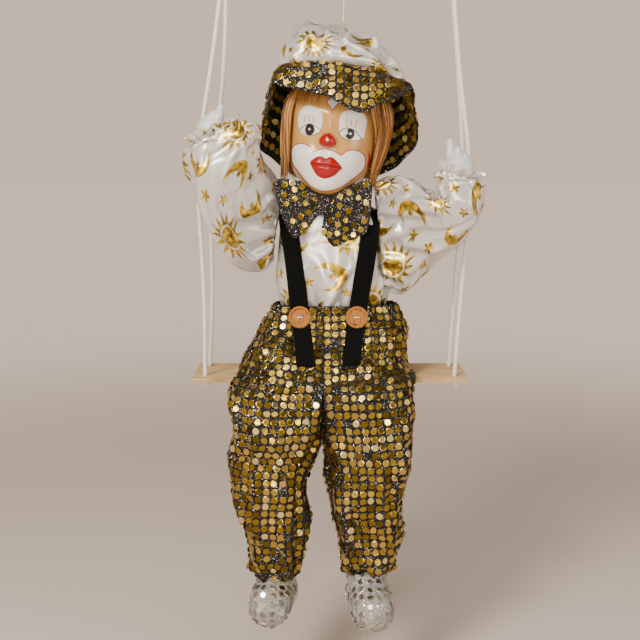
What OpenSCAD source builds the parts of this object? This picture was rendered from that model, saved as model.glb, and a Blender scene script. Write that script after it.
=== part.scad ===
// Clown marionette sitting on a rope swing that hangs from a wooden rod.
// The part's origin is the centre of the hanging eye's bore. Lengths are in
// millimetres, +Z is up and the puppet faces -Y. Left and right are the puppet's own.

/* [Hanger] */
// Diameter of the wooden hanger rod
rod_d = 12; // [11:0.5:14]
// Length of the hanger rod
rod_l = 200; // [190:5:240]
// Radius of the hanging eye's bore
eye_r = 4; // [3:0.5:4.5]
// Thickness of the hanging eye's plate
eye_t = 2.5; // [2:0.5:4]

/* [Swing] */
// Length of the plywood seat
board_w = 195; // [192:1:210]
// Depth of the plywood seat
board_d = 50; // [46:1:50]
// Thickness of the plywood seat
board_t = 3; // [3:0.5:5]
// Diameter of the braided swing rope
rope_d = 3; // [2.5:0.5:3]
// Height of the rod's axis above the seat
drop = 280; // [278:1:290]

/* [Puppet] */
// Lean of the head to the puppet's left
head_lean = 6; // [0:1:8]
// Turn of the head to the puppet's right
head_yaw = 5; // [0:1:8]
// Diameter of the trouser buttons
button_d = 15.5; // [12:0.5:18]
// Width of the braces
strap_w = 12; // [8:1:14]
// Thickness of cloth
cloth_t = 1.2; // [1:0.1:1.5]

/* [Hidden] */
$fn = 48;
soft_fn = 24;
gap = 0.4;

// Place of the seat's top centre below the hanging eye.
rod_y = -21;
rod_x = -1;
eye_plate_r = eye_r + 3;
rod_below_eye = eye_plate_r + rod_d / 2 + 1;
seat_at = [-rod_x, -rod_y, -rod_below_eye - drop];

// Rope holes of the seat and grooves of the rod, in the seat's frame.
hole_x = 89;
hole_y = 17;
hole_r = rope_d / 2 + 0.5;
groove_depth = 0.8;
groove_w = 7;
wrap_r = rod_d / 2 - groove_depth + rope_d / 2 + 0.2;
rope_at_rod = [82, -72];
string_d = 0.8;
knot_r = 3.6;
knot_h = 6;

// Rope routes from the seat's front hole up to the rod and back to the rear hole,
// in the seat's frame. The turn over the rod comes between the two lists.
left_front = [
    [89, -17, -3], [89, -17, 2], [90.3, -18.3, 30], [92, -19.6, 60], [94, -20.9, 90],
    [95.3, -22, 115], [95.3, -23, 140], [94, -23.9, 160], [91.2, -24.7, 180],
    [87.5, -25.7, 205], [84, -26.9, 235], [81.6, -27.9, 262]
];
left_rear = [
    [82.6, -14.1, 262], [85.5, -11.4, 235], [88.5, -8, 205], [91.5, -4.4, 175], [93.5, 0, 140],
    [93.2, 4.2, 105], [91.5, 9, 65], [90, 13.4, 30], [89, 17, 2], [89, 17, -3]
];
right_front = [
    [-89, -17, -3], [-89, -17, 2], [-88.5, -18.3, 30], [-88.5, -19.6, 60], [-89.5, -21.1, 95],
    [-91, -22.6, 130], [-91, -23.4, 150], [-88, -24.3, 170], [-84.5, -25.1, 190],
    [-80, -26.1, 215], [-76, -27.1, 240], [-73, -27.9, 262]
];
right_rear = [
    [-70.5, -14.1, 262], [-71.5, -11.4, 235], [-74, -8, 205], [-78, -4.4, 175], [-83, 0, 140],
    [-85, 4.2, 105], [-85.5, 9, 65], [-87, 13.4, 30], [-89, 17, 2], [-89, 17, -3]
];

// Neck and head, in the seat's frame: the nod pivot, and the head's own frame on it.
neck_at = [-4, -2, 118];
neck_r = 9;
neck_ball_r = 10;
neck_h = 34;
skull_wall = 3;
hair_t = 6;
hat_back_tilt = -14;
hat_seam_z = 90;
eyelet_z = 126;
string_x = neck_at[0] + eyelet_z * sin(head_lean);
string_z = neck_at[2] + eyelet_z * cos(head_lean) + 2.2;
string_wrap_r = rod_d / 2 - groove_depth + string_d / 2 + 0.2;

// Arms: shoulder, elbow, forearm's fullest place and wrist, in the seat's frame.
arm_r = 7;
wrist_r = 7;
shoulder_r = 14;
elbow_r = 22;
puff_r = 14;
cuff_r = 9.5;
left_arm = [[45, -6, 117], [59, -17.5, 81], [88, -40.5, 122], [87, -37.5, 140]];
right_arm = [[-45, -6, 117], [-62, -20.5, 85], [-77, -41, 150], [-78, -38, 168]];

// Legs: the hip hinge's axis, and the ankle below it, in the seat's frame.
leg_r = 21;
hip_y = -47.5;
hip_z = -8;
ankle_z = -128;
left_leg_x = 27;
right_leg_x = -38;
leg_half_w = 30;
hem_r = 19;
hem_back = 2.4;
shank_r = 11;
ankle_r = 12;
toe_r = 14.5;
left_toe = [1, -21, -24];
right_toe = [-5, -21, -22];

// Outlines of the bow's two wings in XZ, and the places of the trousers' buttons.
bow_y = -24.5;
bow_t = 4;
left_bow = [[0, 127], [24, 128], [24, 110], [4, 99], [-2, 112]];
right_bow = [[-7, 127], [-34, 134], [-30, 112], [-27, 103], [-10, 113]];
button_tilt = 10;
left_button = [18.5, -32, 45];
right_button = [-21, -31.4, 45];

// Runs the children in the seat's frame.
module seat_frame() { translate(seat_at) children(); }

// Runs the children in the head's frame: on the neck pivot, leaning and turned.
module head_frame() {
    seat_frame() translate(neck_at) rotate([0, head_lean, 0]) rotate([0, 0, -head_yaw]) children();
}

// A sphere stretched to three half-widths.
module egg(half) { scale(half) sphere(1, $fn = soft_fn); }

module ball(at, r) { translate(at) sphere(r, $fn = soft_fn); }

// A limb between two points, as thick as a ball at each.
module limb(a, a_r, b, b_r) hull() {
    ball(a, a_r);
    ball(b, b_r);
}

function unit(v) = v / norm(v);

function tangent(path, i) = unit(path[min(i + 1, len(path) - 1)] - path[max(i - 1, 0)]);

function ring(path, i, r, sides) =
    let (t = tangent(path, i), a = unit([1, 0, 0] - t[0] * t), b = cross(t, a))
    [for (k = [0:sides - 1]) path[i] + r * (cos(360 * k / sides) * a + sin(360 * k / sides) * b)];

// A closed tube of a given radius along a path that never runs along X.
module tube(path, r, sides = 8) {
    n = len(path);
    polyhedron(
        points = [for (i = [0:n - 1]) each ring(path, i, r, sides)],
        faces = concat(
            [[for (k = [0:sides - 1]) k]],
            [for (i = [0:n - 2], k = [0:sides - 1]) [
                i * sides + k, (i + 1) * sides + k,
                (i + 1) * sides + (k + 1) % sides, i * sides + (k + 1) % sides]],
            [[for (k = [sides - 1:-1:0]) (n - 1) * sides + k]]));
}

// The half turn over the rod from its front to its back, between two rope ends.
function over_rod(from_x, to_x, radius) = [
    for (a = [180:-20:0])
    [from_x + (to_x - from_x) * (180 - a) / 180, rod_y + radius * cos(a), drop + radius * sin(a)]
];

// The same half turn from the rod's back to its front.
function over_rod_forward(x, radius) = [
    for (a = [0:20:180]) [x, rod_y + radius * cos(a), drop + radius * sin(a)]
];

function rope_path(front, rear) =
    concat(front, over_rod(front[len(front) - 1][0], rear[0][0], wrap_r), rear);

// ---- Hanger ----

module hanger_rod() color("burlywood") translate([0, 0, -rod_below_eye]) difference() {
    rotate([0, 90, 0]) cylinder(d = rod_d, h = rod_l, center = true);
    for (x = concat(rope_at_rod - [rod_x, rod_x], [string_x - rod_x])) rod_groove(x);
    cylinder(r = 1.5, h = rod_d, center = true);
}

module rod_groove(x) translate([x, 0, 0]) rotate([0, 90, 0]) difference() {
    cylinder(d = rod_d + 2, h = groove_w, center = true);
    cylinder(d = rod_d - 2 * groove_depth, h = groove_w + 2, center = true);
}

module hanging_eye() color("goldenrod") {
    rotate([90, 0, 0]) difference() {
        cylinder(r = eye_plate_r, h = eye_t, center = true);
        cylinder(r = eye_r, h = eye_t + 2, center = true);
    }
    translate([0, 0, -rod_below_eye - 3]) cylinder(r = 1.2, h = rod_below_eye + 3 - eye_r - 1);
}

// ---- Swing ----

module seat_board() color("burlywood") seat_frame() difference() {
    translate([0, 0, -board_t]) linear_extrude(board_t)
        square([board_w, board_d], center = true);
    for (x = [-1, 1], y = [-1, 1]) translate([x * hole_x, y * hole_y, -board_t - 1])
        cylinder(r = hole_r, h = board_t + 2);
}

module swing_rope(front, rear) color("ivory") seat_frame()
    tube(rope_path(front, rear), rope_d / 2);

// Stopper knots under the two holes of one side.
module rope_knots(front, rear) color("ivory") seat_frame()
    for (end = [front[0], rear[len(rear) - 1]]) translate([end[0], end[1], -board_t])
        rotate_extrude() polygon([
            [0, 0], [knot_r - 1.2, 0], [knot_r, -1.8], [knot_r, -knot_h + 2],
            [knot_r - 1.4, -knot_h], [0, -knot_h]]);

// The thin line from the head's eyelet up the back of the rod and over it.
module head_string() color("white") seat_frame() {
    foot = [string_x, neck_at[1], string_z];
    top = [string_x, rod_y + string_wrap_r, drop - 2];
    tube(concat(
        [for (share = [0, 0.33, 0.67, 1]) foot + share * (top - foot)],
        over_rod_forward(string_x, string_wrap_r),
        [[string_x, rod_y - string_wrap_r, drop - 6]]), string_d / 2);
}

// ---- Body and clothes ----

// The stuffed trunk's outline, grown by g.
module trunk_form(g) hull() {
    translate([0, -3, 110]) egg([29 + g, 14 + g, 10 + g]);
    translate([1, -1, 74]) egg([29 + g, 17 + g, 14 + g]);
    translate([1, -1, 24]) egg([32 + g, 17 + g, 18 + g]);
}

// The trousers' outline over the seat and the lap, grown by g.
module trouser_form(g) hull() {
    translate([5, -3, 46]) egg([42 + g, 24 + g, 5 + g]);
    translate([-4, -7, 17]) egg([58 + g, 30 + g, 16 + g]);
    translate([-5, -36, 8]) egg([60 + g, 14 + g, 10 + g]);
}

module below(z) translate([-200, -200, z - 400]) cube([400, 400, 400]);

module above(z) translate([-200, -200, z]) cube([400, 400, 400]);

module neck_socket() translate(neck_at) sphere(neck_ball_r + gap);

// Room for the sleeves' shoulder balls.
module shoulder_room() for (arm = [left_arm, right_arm]) ball(arm[0], shoulder_r + 2 * gap);

module torso_stuffing() color("wheat") seat_frame() difference() {
    trunk_form(0);
    neck_socket();
    shoulder_room();
}

module shirt_body() color("white") seat_frame() difference() {
    trunk_form(3.5);
    trunk_form(gap);
    below(40);
    neck_socket();
    translate(neck_at) cylinder(r = neck_r + 5, h = 30);
    shoulder_room();
}

module trouser_seat() color("darkgoldenrod") seat_frame() difference() {
    trouser_form(0);
    trunk_form(3.5 + gap);
    below(0.05);
    translate([0, hip_y, hip_z]) rotate([0, 90, 0]) cylinder(r = leg_r + 0.6, h = 300, center = true);
}

module collar_band() color("black") seat_frame() translate(neck_at + [0, 0, 7.2])
    rotate_extrude() translate([neck_r + 5, 0]) circle(2, $fn = 16);

// A drooping wing of the bow, as a flat pillow with its point down.
module bow_wing(outline, at_y) color("black") seat_frame() translate([0, at_y, 0])
    rotate([90, 0, 0]) linear_extrude(bow_t) offset(2, $fn = 16) polygon(outline);

module bow_knot() color("black") seat_frame() translate([-3.5, bow_y - bow_t - 2.3, 120.5])
    egg([6.5, 2.2, 7]);

// Both layers of the clothed body that a brace lies on, grown by g.
module clothed_form(g) {
    trunk_form(3.5 + g);
    trouser_form(g);
}

// A brace over one shoulder: the shell round the clothes that lies in two slanted
// bands, one in front from low to high and one behind that nears the middle.
module brace(side, front_low, front_high) color("black") seat_frame() difference() {
    intersection() {
        clothed_form(gap + cloth_t);
        union() {
            strap_band([front_low, 15], [front_high, 150], -100, 0.2);
            strap_band([side * 14, 30], [front_high, 150], 0.1, 100);
        }
    }
    clothed_form(gap);
    neck_socket();
    translate(neck_at) cylinder(r = neck_r + 7.5, h = 30);
    shoulder_room();
}

// The slab of strap_w wide over the line from a to b in XZ, between two depths.
module strap_band(a, b, y_low, y_high) translate([0, y_high, 0]) rotate([90, 0, 0])
    linear_extrude(y_high - y_low) hull() for (end = [a, b])
        translate(end) square([strap_w, 0.1], center = true);

module button(at) color("peru") seat_frame() translate(at) rotate([90 - button_tilt, 0, 0])
    difference() {
        cylinder(d = button_d, h = 2.8);
        translate([0, 0, 2]) cylinder(d = button_d - 4, h = 2);
        for (x = [-1.5, 1.5]) translate([x, 0, -1]) cylinder(d = 1.6, h = 5);
    }

// The stitch that joins a button's two holes, over its recess.
module button_thread(at) color("white") seat_frame() translate(at)
    rotate([90 - button_tilt, 0, 0]) translate([0, 0, 2.05]) linear_extrude(0.7)
        hull() for (x = [-1.5, 1.5]) translate([x, 0]) circle(0.6);

// A cupped mitten hand round the front of the rope, on a ball for a wrist.
module hand(wrist, palm, tip, thumb, front) color("gainsboro") seat_frame() difference() {
    union() {
        ball(wrist, wrist_r);
        hull() {
            ball(wrist + [0, 1, 3], 5);
            translate(palm) egg([9, 7.5, 7]);
        }
        limb(palm, 6.5, tip, 3.5);
        limb(palm, 5, thumb, 3);
    }
    tube(front, rope_d / 2 + gap);
}

// ---- Head ----

module head_form(g) hull() {
    translate([0, -2, 60]) egg([30 + g, 32 + g, 33 + g]);
    translate([0, -10, 34]) egg([25 + g, 23 + g, 19 + g]);
}

module neck_post() color("burlywood") seat_frame() translate(neck_at)
    rotate([0, head_lean, 0]) {
        sphere(neck_ball_r);
        cylinder(r = neck_r, h = neck_h);
    }

module head_shell() color("sandybrown") head_frame() difference() {
    union() {
        head_form(0);
        translate([0, 0, neck_ball_r + 2]) cylinder(r = neck_r + 3, h = 12);
    }
    head_form(-skull_wall);
    translate([0, 0, 5]) cylinder(r = neck_r + 0.1, h = neck_h + 6);
}

module wig() color("chocolate") head_frame() difference() {
    head_form(hair_t);
    head_form(gap);
    translate([-22, -100, 0]) cube([44, 95, 76]);
    below(22);
    cylinder(r = neck_r + 3 + gap, h = 30);
    translate([-100, -100, 0]) cube([200, 91, 40]);
}

module hat_frame() head_frame() translate([0, 0, hat_seam_z]) rotate([hat_back_tilt, 0, 0])
    children();

// The soft crown: a wide dome over the wig, cut level at the brim's seam.
module hat_crown() color("whitesmoke") difference() {
    hat_frame() translate([0, 2, 6]) egg([45, 42, 28]);
    hat_frame() below(0);
    head_frame() head_form(hair_t + gap);
}

// The drooping brim: a cone of cloth below the seam, open in front of the face.
module hat_brim() color("black") hat_frame() difference() {
    rotate_extrude() polygon([
        [39.5, -0.1], [41.5, -0.1], [56, -46], [54, -46.6], [39.5, -4]]);
    translate([-36, -100, -100]) cube([72, 90, 70]);
}

module string_eyelet() color("goldenrod") seat_frame()
    translate([string_x, neck_at[1], string_z - 2.2]) rotate([90, 0, 0])
        rotate_extrude() translate([1.3, 0]) circle(0.4, $fn = 16);

// ---- Arms ----

// The stuffed arm's outline, grown by g.
module arm_form(arm, g) {
    limb(arm[0], arm_r + g, arm[1], arm_r + g);
    limb(arm[1], arm_r + g, arm[3], arm_r + g);
}

// The wrist's ball and everything past it, square to the line from shoulder to wrist.
module past_wrist(arm) {
    along = arm[3] - arm[0];
    turn = [0, acos(along[2] / norm(along)), atan2(along[1], along[0])];
    translate(arm[3]) sphere(wrist_r + gap);
    translate(arm[3]) rotate(turn) cylinder(r = 60, h = 80);
}

module arm_stuffing(arm) color("wheat") seat_frame() difference() {
    arm_form(arm, 0);
    past_wrist(arm);
}

// A full sleeve, gathered at the cuff, with the arm's room inside.
module sleeve(arm) color("white") seat_frame() difference() {
    union() {
        limb(arm[0], shoulder_r, arm[1], elbow_r);
        limb(arm[1], elbow_r, arm[2], puff_r);
        limb(arm[2], puff_r, arm[3] - [0, 0, 6], cuff_r);
    }
    arm_form(arm, gap);
    past_wrist(arm);
}

// ---- Legs ----

module leg_stuffing(x) color("wheat") seat_frame() {
    translate([x, hip_y, hip_z]) sphere(shank_r);
    translate([x, hip_y, ankle_z + ankle_r + 2])
        cylinder(r = shank_r, h = hip_z - ankle_z - ankle_r - 2);
}

module trouser_leg(x) color("darkgoldenrod") seat_frame() difference() {
    hull() {
        translate([x, hip_y, hip_z]) rotate([0, 90, 0])
            cylinder(r = leg_r, h = 2 * leg_half_w, center = true, $fn = 32);
        translate([x, hip_y + hem_back, ankle_z + 5]) cylinder(r = hem_r, h = 6, $fn = 32);
    }
    translate([x, hip_y, hip_z]) sphere(shank_r + gap);
    translate([x, hip_y, ankle_z - 1]) cylinder(r = shank_r + gap, h = hip_z - ankle_z + 1);
    translate([x, hip_y, ankle_z - 1]) cylinder(r = ankle_r + 1, h = ankle_r + 2);
}

// A stuffed shoe that hangs toe down from a ball at the ankle.
module shoe(x, toe) color("silver") seat_frame() translate([x, hip_y, ankle_z]) {
    sphere(ankle_r);
    hull() {
        ball([0, 0, -4], ankle_r - 1);
        ball([0, 2, -22], ankle_r - 1);
        ball(toe, toe_r);
    }
}

hanger_rod();
hanging_eye();
seat_board();
swing_rope(left_front, left_rear);  // rope_left
swing_rope(right_front, right_rear);  // rope_right
rope_knots(left_front, left_rear);  // rope_knots_left
rope_knots(right_front, right_rear);  // rope_knots_right
head_string();
torso_stuffing();
shirt_body();
trouser_seat();
collar_band();
bow_wing(left_bow, bow_y);  // bow_wing_left
bow_wing(right_bow, bow_y);  // bow_wing_right
bow_knot();
brace(1, 14, 27);  // brace_left
brace(-1, -16, -28);  // brace_right
button(left_button);  // button_left
button(right_button);  // button_right
button_thread(left_button);  // button_thread_left
button_thread(right_button);  // button_thread_right
hand(left_arm[3], [88, -30.5, 152], [82, -32.5, 164], [97, -31.5, 151], left_front);  // hand_left
hand(right_arm[3], [-80, -31, 179], [-75, -33.5, 188], [-89, -32, 172], right_front);  // hand_right
neck_post();
head_shell();
wig();
hat_crown();
hat_brim();
string_eyelet();
sleeve(left_arm);  // sleeve_left
sleeve(right_arm);  // sleeve_right
arm_stuffing(left_arm);  // arm_stuffing_left
arm_stuffing(right_arm);  // arm_stuffing_right
trouser_leg(left_leg_x);  // trouser_leg_left
trouser_leg(right_leg_x);  // trouser_leg_right
leg_stuffing(left_leg_x);  // leg_stuffing_left
leg_stuffing(right_leg_x);  // leg_stuffing_right
shoe(left_leg_x, left_toe);  // shoe_left
shoe(right_leg_x, right_toe);  // shoe_right
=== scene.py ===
import math

import bpy
import numpy as np
from mathutils import Matrix, Vector
from mathutils.bvhtree import BVHTree


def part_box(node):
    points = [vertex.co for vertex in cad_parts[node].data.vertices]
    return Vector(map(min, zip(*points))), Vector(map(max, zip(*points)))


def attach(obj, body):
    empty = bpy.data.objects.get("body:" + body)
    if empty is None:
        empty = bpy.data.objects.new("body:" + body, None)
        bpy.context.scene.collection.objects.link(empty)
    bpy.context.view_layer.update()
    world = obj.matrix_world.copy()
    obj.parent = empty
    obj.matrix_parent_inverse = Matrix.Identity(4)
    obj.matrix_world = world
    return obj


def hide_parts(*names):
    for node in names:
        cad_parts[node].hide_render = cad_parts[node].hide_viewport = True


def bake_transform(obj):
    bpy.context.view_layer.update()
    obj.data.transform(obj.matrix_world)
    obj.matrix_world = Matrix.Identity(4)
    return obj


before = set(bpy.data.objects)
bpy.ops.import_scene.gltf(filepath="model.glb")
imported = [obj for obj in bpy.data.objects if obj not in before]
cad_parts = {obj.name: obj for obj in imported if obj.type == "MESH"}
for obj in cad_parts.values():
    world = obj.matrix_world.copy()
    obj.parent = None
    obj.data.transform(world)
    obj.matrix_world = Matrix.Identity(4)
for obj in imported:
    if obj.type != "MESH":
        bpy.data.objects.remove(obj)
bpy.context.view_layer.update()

# The looks of a clown marionette on a rope swing. Shapes are worked out in
# millimetres in the seat's frame (top centre of the plywood seat, +Z up, the
# puppet faces -Y) and are put into the row frame in metres.

rng = np.random.default_rng(11)
TAU = 2 * math.pi
MM = 0.001

seat_low, seat_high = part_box("seat_board")
SEAT = np.array([(seat_low[0] + seat_high[0]) / 2, (seat_low[1] + seat_high[1]) / 2, seat_high[2]])


def row(points):
    """Points in the seat's frame in mm, as metres in the row frame."""
    return SEAT + np.asarray(points, float) * MM


# ---- Frames of the head and the hat

def turn_matrix(axis, degrees):
    return np.array(Matrix.Rotation(math.radians(degrees), 3, axis))


NECK = np.array([-4.0, -2.0, 118.0])
HEAD_TURN = turn_matrix("Y", 6) @ turn_matrix("Z", -5)
HAT_TURN = turn_matrix("X", -14)
HAT_SEAM_Z = 90


def from_head(points):
    return np.asarray(points, float) @ HEAD_TURN.T + NECK


def from_hat(points):
    return from_head(np.asarray(points, float) @ HAT_TURN.T + [0, 0, HAT_SEAM_Z])


# ---- Mesh tools

def unit(vectors):
    vectors = np.asarray(vectors, float)
    return vectors / np.maximum(np.linalg.norm(vectors, axis=-1, keepdims=True), 1e-9)


def add_mesh(name, points, faces, material, smooth=True, uv=None, colours=None):
    """A mesh object from points in the seat's frame in mm."""
    mesh = bpy.data.meshes.new(name)
    mesh.from_pydata(row(np.reshape(points, (-1, 3))).tolist(), [], [list(map(int, f)) for f in faces])
    mesh.polygons.foreach_set("use_smooth", np.full(len(mesh.polygons), smooth))
    mesh.materials.append(material)
    if uv is not None:
        layer = mesh.uv_layers.new(name="print")
        corners = np.empty(len(mesh.loops), dtype=np.int32)
        mesh.loops.foreach_get("vertex_index", corners)
        layer.data.foreach_set("uv", np.asarray(uv, float)[corners].ravel())
    if colours is not None:
        paint = mesh.attributes.new("paint", "FLOAT_COLOR", "POINT")
        rgba = np.concatenate([colours, np.ones((len(colours), 1))], axis=1)
        paint.data.foreach_set("color", rgba.ravel())
    mesh.update()
    obj = bpy.data.objects.new(name, mesh)
    bpy.context.scene.collection.objects.link(obj)
    return obj


def grid_faces(rows, columns, closed=True):
    """Quads of a grid whose points are numbered row by row."""
    r = np.arange(rows - 1)[:, None]
    c = np.arange(columns if closed else columns - 1)[None, :]
    n = (c + 1) % columns
    quads = [r * columns + c, r * columns + n, (r + 1) * columns + n, (r + 1) * columns + c]
    return np.stack(np.broadcast_arrays(*quads), -1).reshape(-1, 4)


def curve_through(stations, shares, closed=False):
    """A smooth curve through rows of numbers, at shares from 0 at the first to 1 at the last."""
    stations = np.asarray(stations, float)
    count = len(stations)
    spans = count if closed else count - 1
    t = np.clip(np.asarray(shares, float), 0, 1) * spans
    i = np.minimum(t.astype(int), spans - 1)
    f = (t - i)[:, None]

    def at(k):
        return stations[k % count] if closed else stations[np.clip(k, 0, count - 1)]

    a, b, c, d = at(i - 1), at(i), at(i + 1), at(i + 2)
    return b + 0.5 * f * (c - a + f * (2 * a - 5 * b + 4 * c - d + f * (3 * (b - c) + d - a)))


def lengths_along(points):
    return np.concatenate([[0], np.cumsum(np.linalg.norm(np.diff(points, axis=0), axis=1))])


def evenly(points, step):
    """The same line with its points an even step apart."""
    along = lengths_along(points)
    marks = np.linspace(0, along[-1], max(2, round(along[-1] / step) + 1))
    return np.stack([np.interp(marks, along, points[:, k]) for k in range(3)], axis=1)


def round_angles(count):
    return TAU * np.arange(count) / count


def rings_round(path, across, over, size):
    """A ring of points at each point of a path, in the plane of two directions, size by angle."""
    angle = round_angles(size.shape[1])
    ring = np.cos(angle)[None, :, None] * across[:, None] + np.sin(angle)[None, :, None] * over[:, None]
    return path[:, None] + size[..., None] * ring


def tube_points(path, radius, sides, relief=None):
    """Rings round a path that never runs along X; relief(along, angle) scales the radius."""
    tangents = unit(np.gradient(path, axis=0))
    across = unit(np.array([1.0, 0, 0]) - tangents[:, :1] * tangents)
    over = np.cross(tangents, across)
    size = np.full((len(path), sides), 1.0) * np.reshape(radius, (-1, 1))
    if relief is not None:
        size = size * relief(lengths_along(path)[:, None], round_angles(sides)[None, :])
    return rings_round(path, across, over, size)


def tube_faces(rings, sides):
    """Faces of a tube with both ends capped."""
    faces = [list(q) for q in grid_faces(rings, sides)]
    faces.append(list(reversed(range(sides))))
    faces.append([(rings - 1) * sides + k for k in range(sides)])
    return faces


def ring_faces(rows, columns):
    """Quads of a closed grid whose last row meets its first."""
    last = (rows - 1) * columns
    seam = [[last + k, last + (k + 1) % columns, (k + 1) % columns, k] for k in range(columns)]
    return np.concatenate([grid_faces(rows, columns), seam])


def joined(parts):
    """Several (points, faces) as one."""
    points, faces, count = [], [], 0
    for part_points, part_faces in parts:
        part_points = np.reshape(part_points, (-1, 3))
        points.append(part_points)
        faces += [[int(v) + count for v in face] for face in part_faces]
        count += len(part_points)
    return np.concatenate(points), faces


def powered(wave, power):
    """A sine or cosine made boxier, with its sign kept."""
    return np.sign(wave) * np.abs(wave) ** power


def bell(x, z, at_x, at_z, half_x, half_z):
    """A smooth bump of height 1."""
    return np.exp(-(((x - at_x) / half_x) ** 2 + ((z - at_z) / half_z) ** 2))


def smooth_step(value, low, high):
    t = np.clip((value - low) / (high - low), 0, 1)
    return t * t * (3 - 2 * t)


def grid_normals(grid, closed=True):
    """Unit normals of a grid of points, on the side that rows x columns points to."""
    down = np.gradient(grid, axis=0)
    if closed:
        across = np.roll(grid, -1, axis=1) - np.roll(grid, 1, axis=1)
    else:
        across = np.gradient(grid, axis=1)
    return unit(np.cross(down, across))


def points_outward(grid):
    """Whether a closed grid's normals point away from its rows' middles."""
    away = grid - grid.mean(axis=1, keepdims=True)
    return float(np.sum(grid_normals(grid) * away)) > 0


def outward_normals(grid):
    return grid_normals(grid) * (1 if points_outward(grid) else -1)


def girths(grid):
    """The length round each row of a closed grid."""
    return np.linalg.norm(np.roll(grid, -1, axis=1) - grid, axis=2).sum(axis=1)


def pinned_rows(rows, columns, first, last):
    """Marks the points of a grid's first and last few rows."""
    pinned = np.zeros((rows, columns), bool)
    pinned[:first] = True
    pinned[-last:] = True
    return pinned.ravel()


def finished(obj, body, slot, *nodes):
    """Puts a piece on its body in place of CAD nodes; its slot is not used."""
    if nodes:
        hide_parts(*nodes)
    if body is not None:
        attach(obj, body)


# ---- Materials

def srgb(red, green, blue):
    """A colour as a screen shows it, made linear."""
    return tuple(c / 12.92 if c <= 0.04045 else ((c + 0.055) / 1.055) ** 2.4 for c in (red, green, blue))


class Finish:
    """A Principled material, with short calls that add nodes to it."""

    def __init__(self, name, **settings):
        self.material = bpy.data.materials.new(name)
        self.material.use_nodes = True
        self.tree = self.material.node_tree
        self.shader = self.tree.nodes["Principled BSDF"]
        for words, value in settings.items():
            self.put(words.replace("_", " ").title().replace("Ior", "IOR"), value)

    def put(self, socket, value):
        self.join(value, self.shader.inputs[socket])

    def join(self, value, socket):
        if isinstance(value, bpy.types.NodeSocket):
            self.tree.links.new(value, socket)
        elif isinstance(value, tuple) and socket.type == "RGBA":
            socket.default_value = (*value, 1)
        else:
            socket.default_value = value

    def node(self, kind, values=(), **settings):
        node = self.tree.nodes.new("ShaderNode" + kind)
        for key, value in settings.items():
            setattr(node, key, value)
        for key, value in dict(values).items():
            self.join(value, node.inputs[key])
        return node

    def math(self, operation, *values):
        return self.node("Math", enumerate(values), operation=operation).outputs[0]

    def plus(self, *values):
        return self.math("ADD", *values)

    def times(self, *values):
        return self.math("MULTIPLY", *values)

    def vector(self, operation, *values):
        return self.node("VectorMath", enumerate(values), operation=operation).outputs[0]

    def place(self):
        return self.node("TexCoord").outputs["Object"]

    def stretched(self, x, y, z):
        """The place in the row frame, times a number along each axis."""
        return self.vector("MULTIPLY", self.place(), (x, y, z))

    def noise(self, scale, detail=3.0, where=None):
        values = {"Vector": where or self.place(), "Scale": scale, "Detail": detail}
        return self.node("TexNoise", values).outputs["Fac"]

    def cells(self, scale, output="Distance"):
        return self.node("TexVoronoi", {"Vector": self.place(), "Scale": scale}).outputs[output]

    def rise(self, value, low, high):
        """0 below low and 1 above high, and smooth between them."""
        values = {"Value": value, "From Min": low, "From Max": high}
        return self.node("MapRange", values, interpolation_type="SMOOTHSTEP").outputs[0]

    def mix(self, share, first, second):
        node = self.node("Mix", data_type="RGBA")
        self.join(share, node.inputs[0])
        self.join(first, node.inputs[6])
        self.join(second, node.inputs[7])
        return node.outputs[2]

    def ramp(self, value, *stops):
        """A colour for each place that value can be at: (place, colour)."""
        node = self.node("ValToRGB", {"Fac": value})
        elements = node.color_ramp.elements
        while len(elements) < len(stops):
            elements.new(0.5)
        for element, (at, colour) in zip(elements, stops):
            element.position = at
            element.color = (*colour, 1)
        return node.outputs[0]

    def each_piece(self):
        """A random number for each separate island of the mesh."""
        return self.node("NewGeometry").outputs["Random Per Island"]

    def bump(self, height, distance, strength=1.0, normal=None):
        values = {"Height": height, "Distance": distance, "Strength": strength}
        if normal is not None:
            values["Normal"] = normal
        self.put("Normal", self.node("Bump", values).outputs[0])


def wood(name, light, dark, grain_scale, gloss):
    finish = Finish(name, roughness=gloss, specular_ior_level=0.4, coat_weight=0.15, coat_roughness=0.3)
    fibres = finish.noise(1.0, 5.0, finish.stretched(*grain_scale))
    rings = finish.noise(0.25, 2.0, finish.stretched(*grain_scale))
    share = finish.plus(finish.times(fibres, 0.55), finish.times(rings, 0.5))
    pale = tuple(c * 1.12 for c in light)
    finish.put("Base Color", finish.ramp(share, (0.35, dark), (0.55, light), (0.7, pale)))
    finish.put("Roughness", finish.plus(finish.times(fibres, 0.25), gloss - 0.1))
    finish.bump(fibres, 0.00012, 0.6)
    return finish.material


def plywood():
    """Bare plywood: birch grain on the faces and dark glue lines along the edges."""
    finish = Finish("seat_plywood", roughness=0.6, specular_ior_level=0.3)
    fibres = finish.noise(1.0, 5.0, finish.stretched(60, 1300, 700))
    bands = finish.noise(1.0, 2.0, finish.stretched(25, 220, 60))
    depth = finish.times(finish.node("SeparateXYZ", {0: finish.place()}).outputs[2], 1000)
    below = finish.math("SUBTRACT", float(SEAT[2]) * 1000, depth)
    line = finish.math("PINGPONG", finish.plus(below, 0.5), 0.5)
    inside = finish.times(finish.rise(below, 0.15, 0.3), finish.rise(below, 2.85, 2.7))
    glue = finish.times(finish.rise(line, 0.16, 0.04), inside)
    share = finish.plus(finish.times(fibres, 0.6), finish.times(bands, 0.45))
    birch = finish.ramp(share, (0.35, srgb(0.70, 0.54, 0.34)), (0.62, srgb(0.86, 0.73, 0.53)))
    finish.put("Base Color", finish.mix(glue, birch, srgb(0.42, 0.28, 0.16)))
    finish.bump(fibres, 0.00010, 0.6)
    return finish.material


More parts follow.
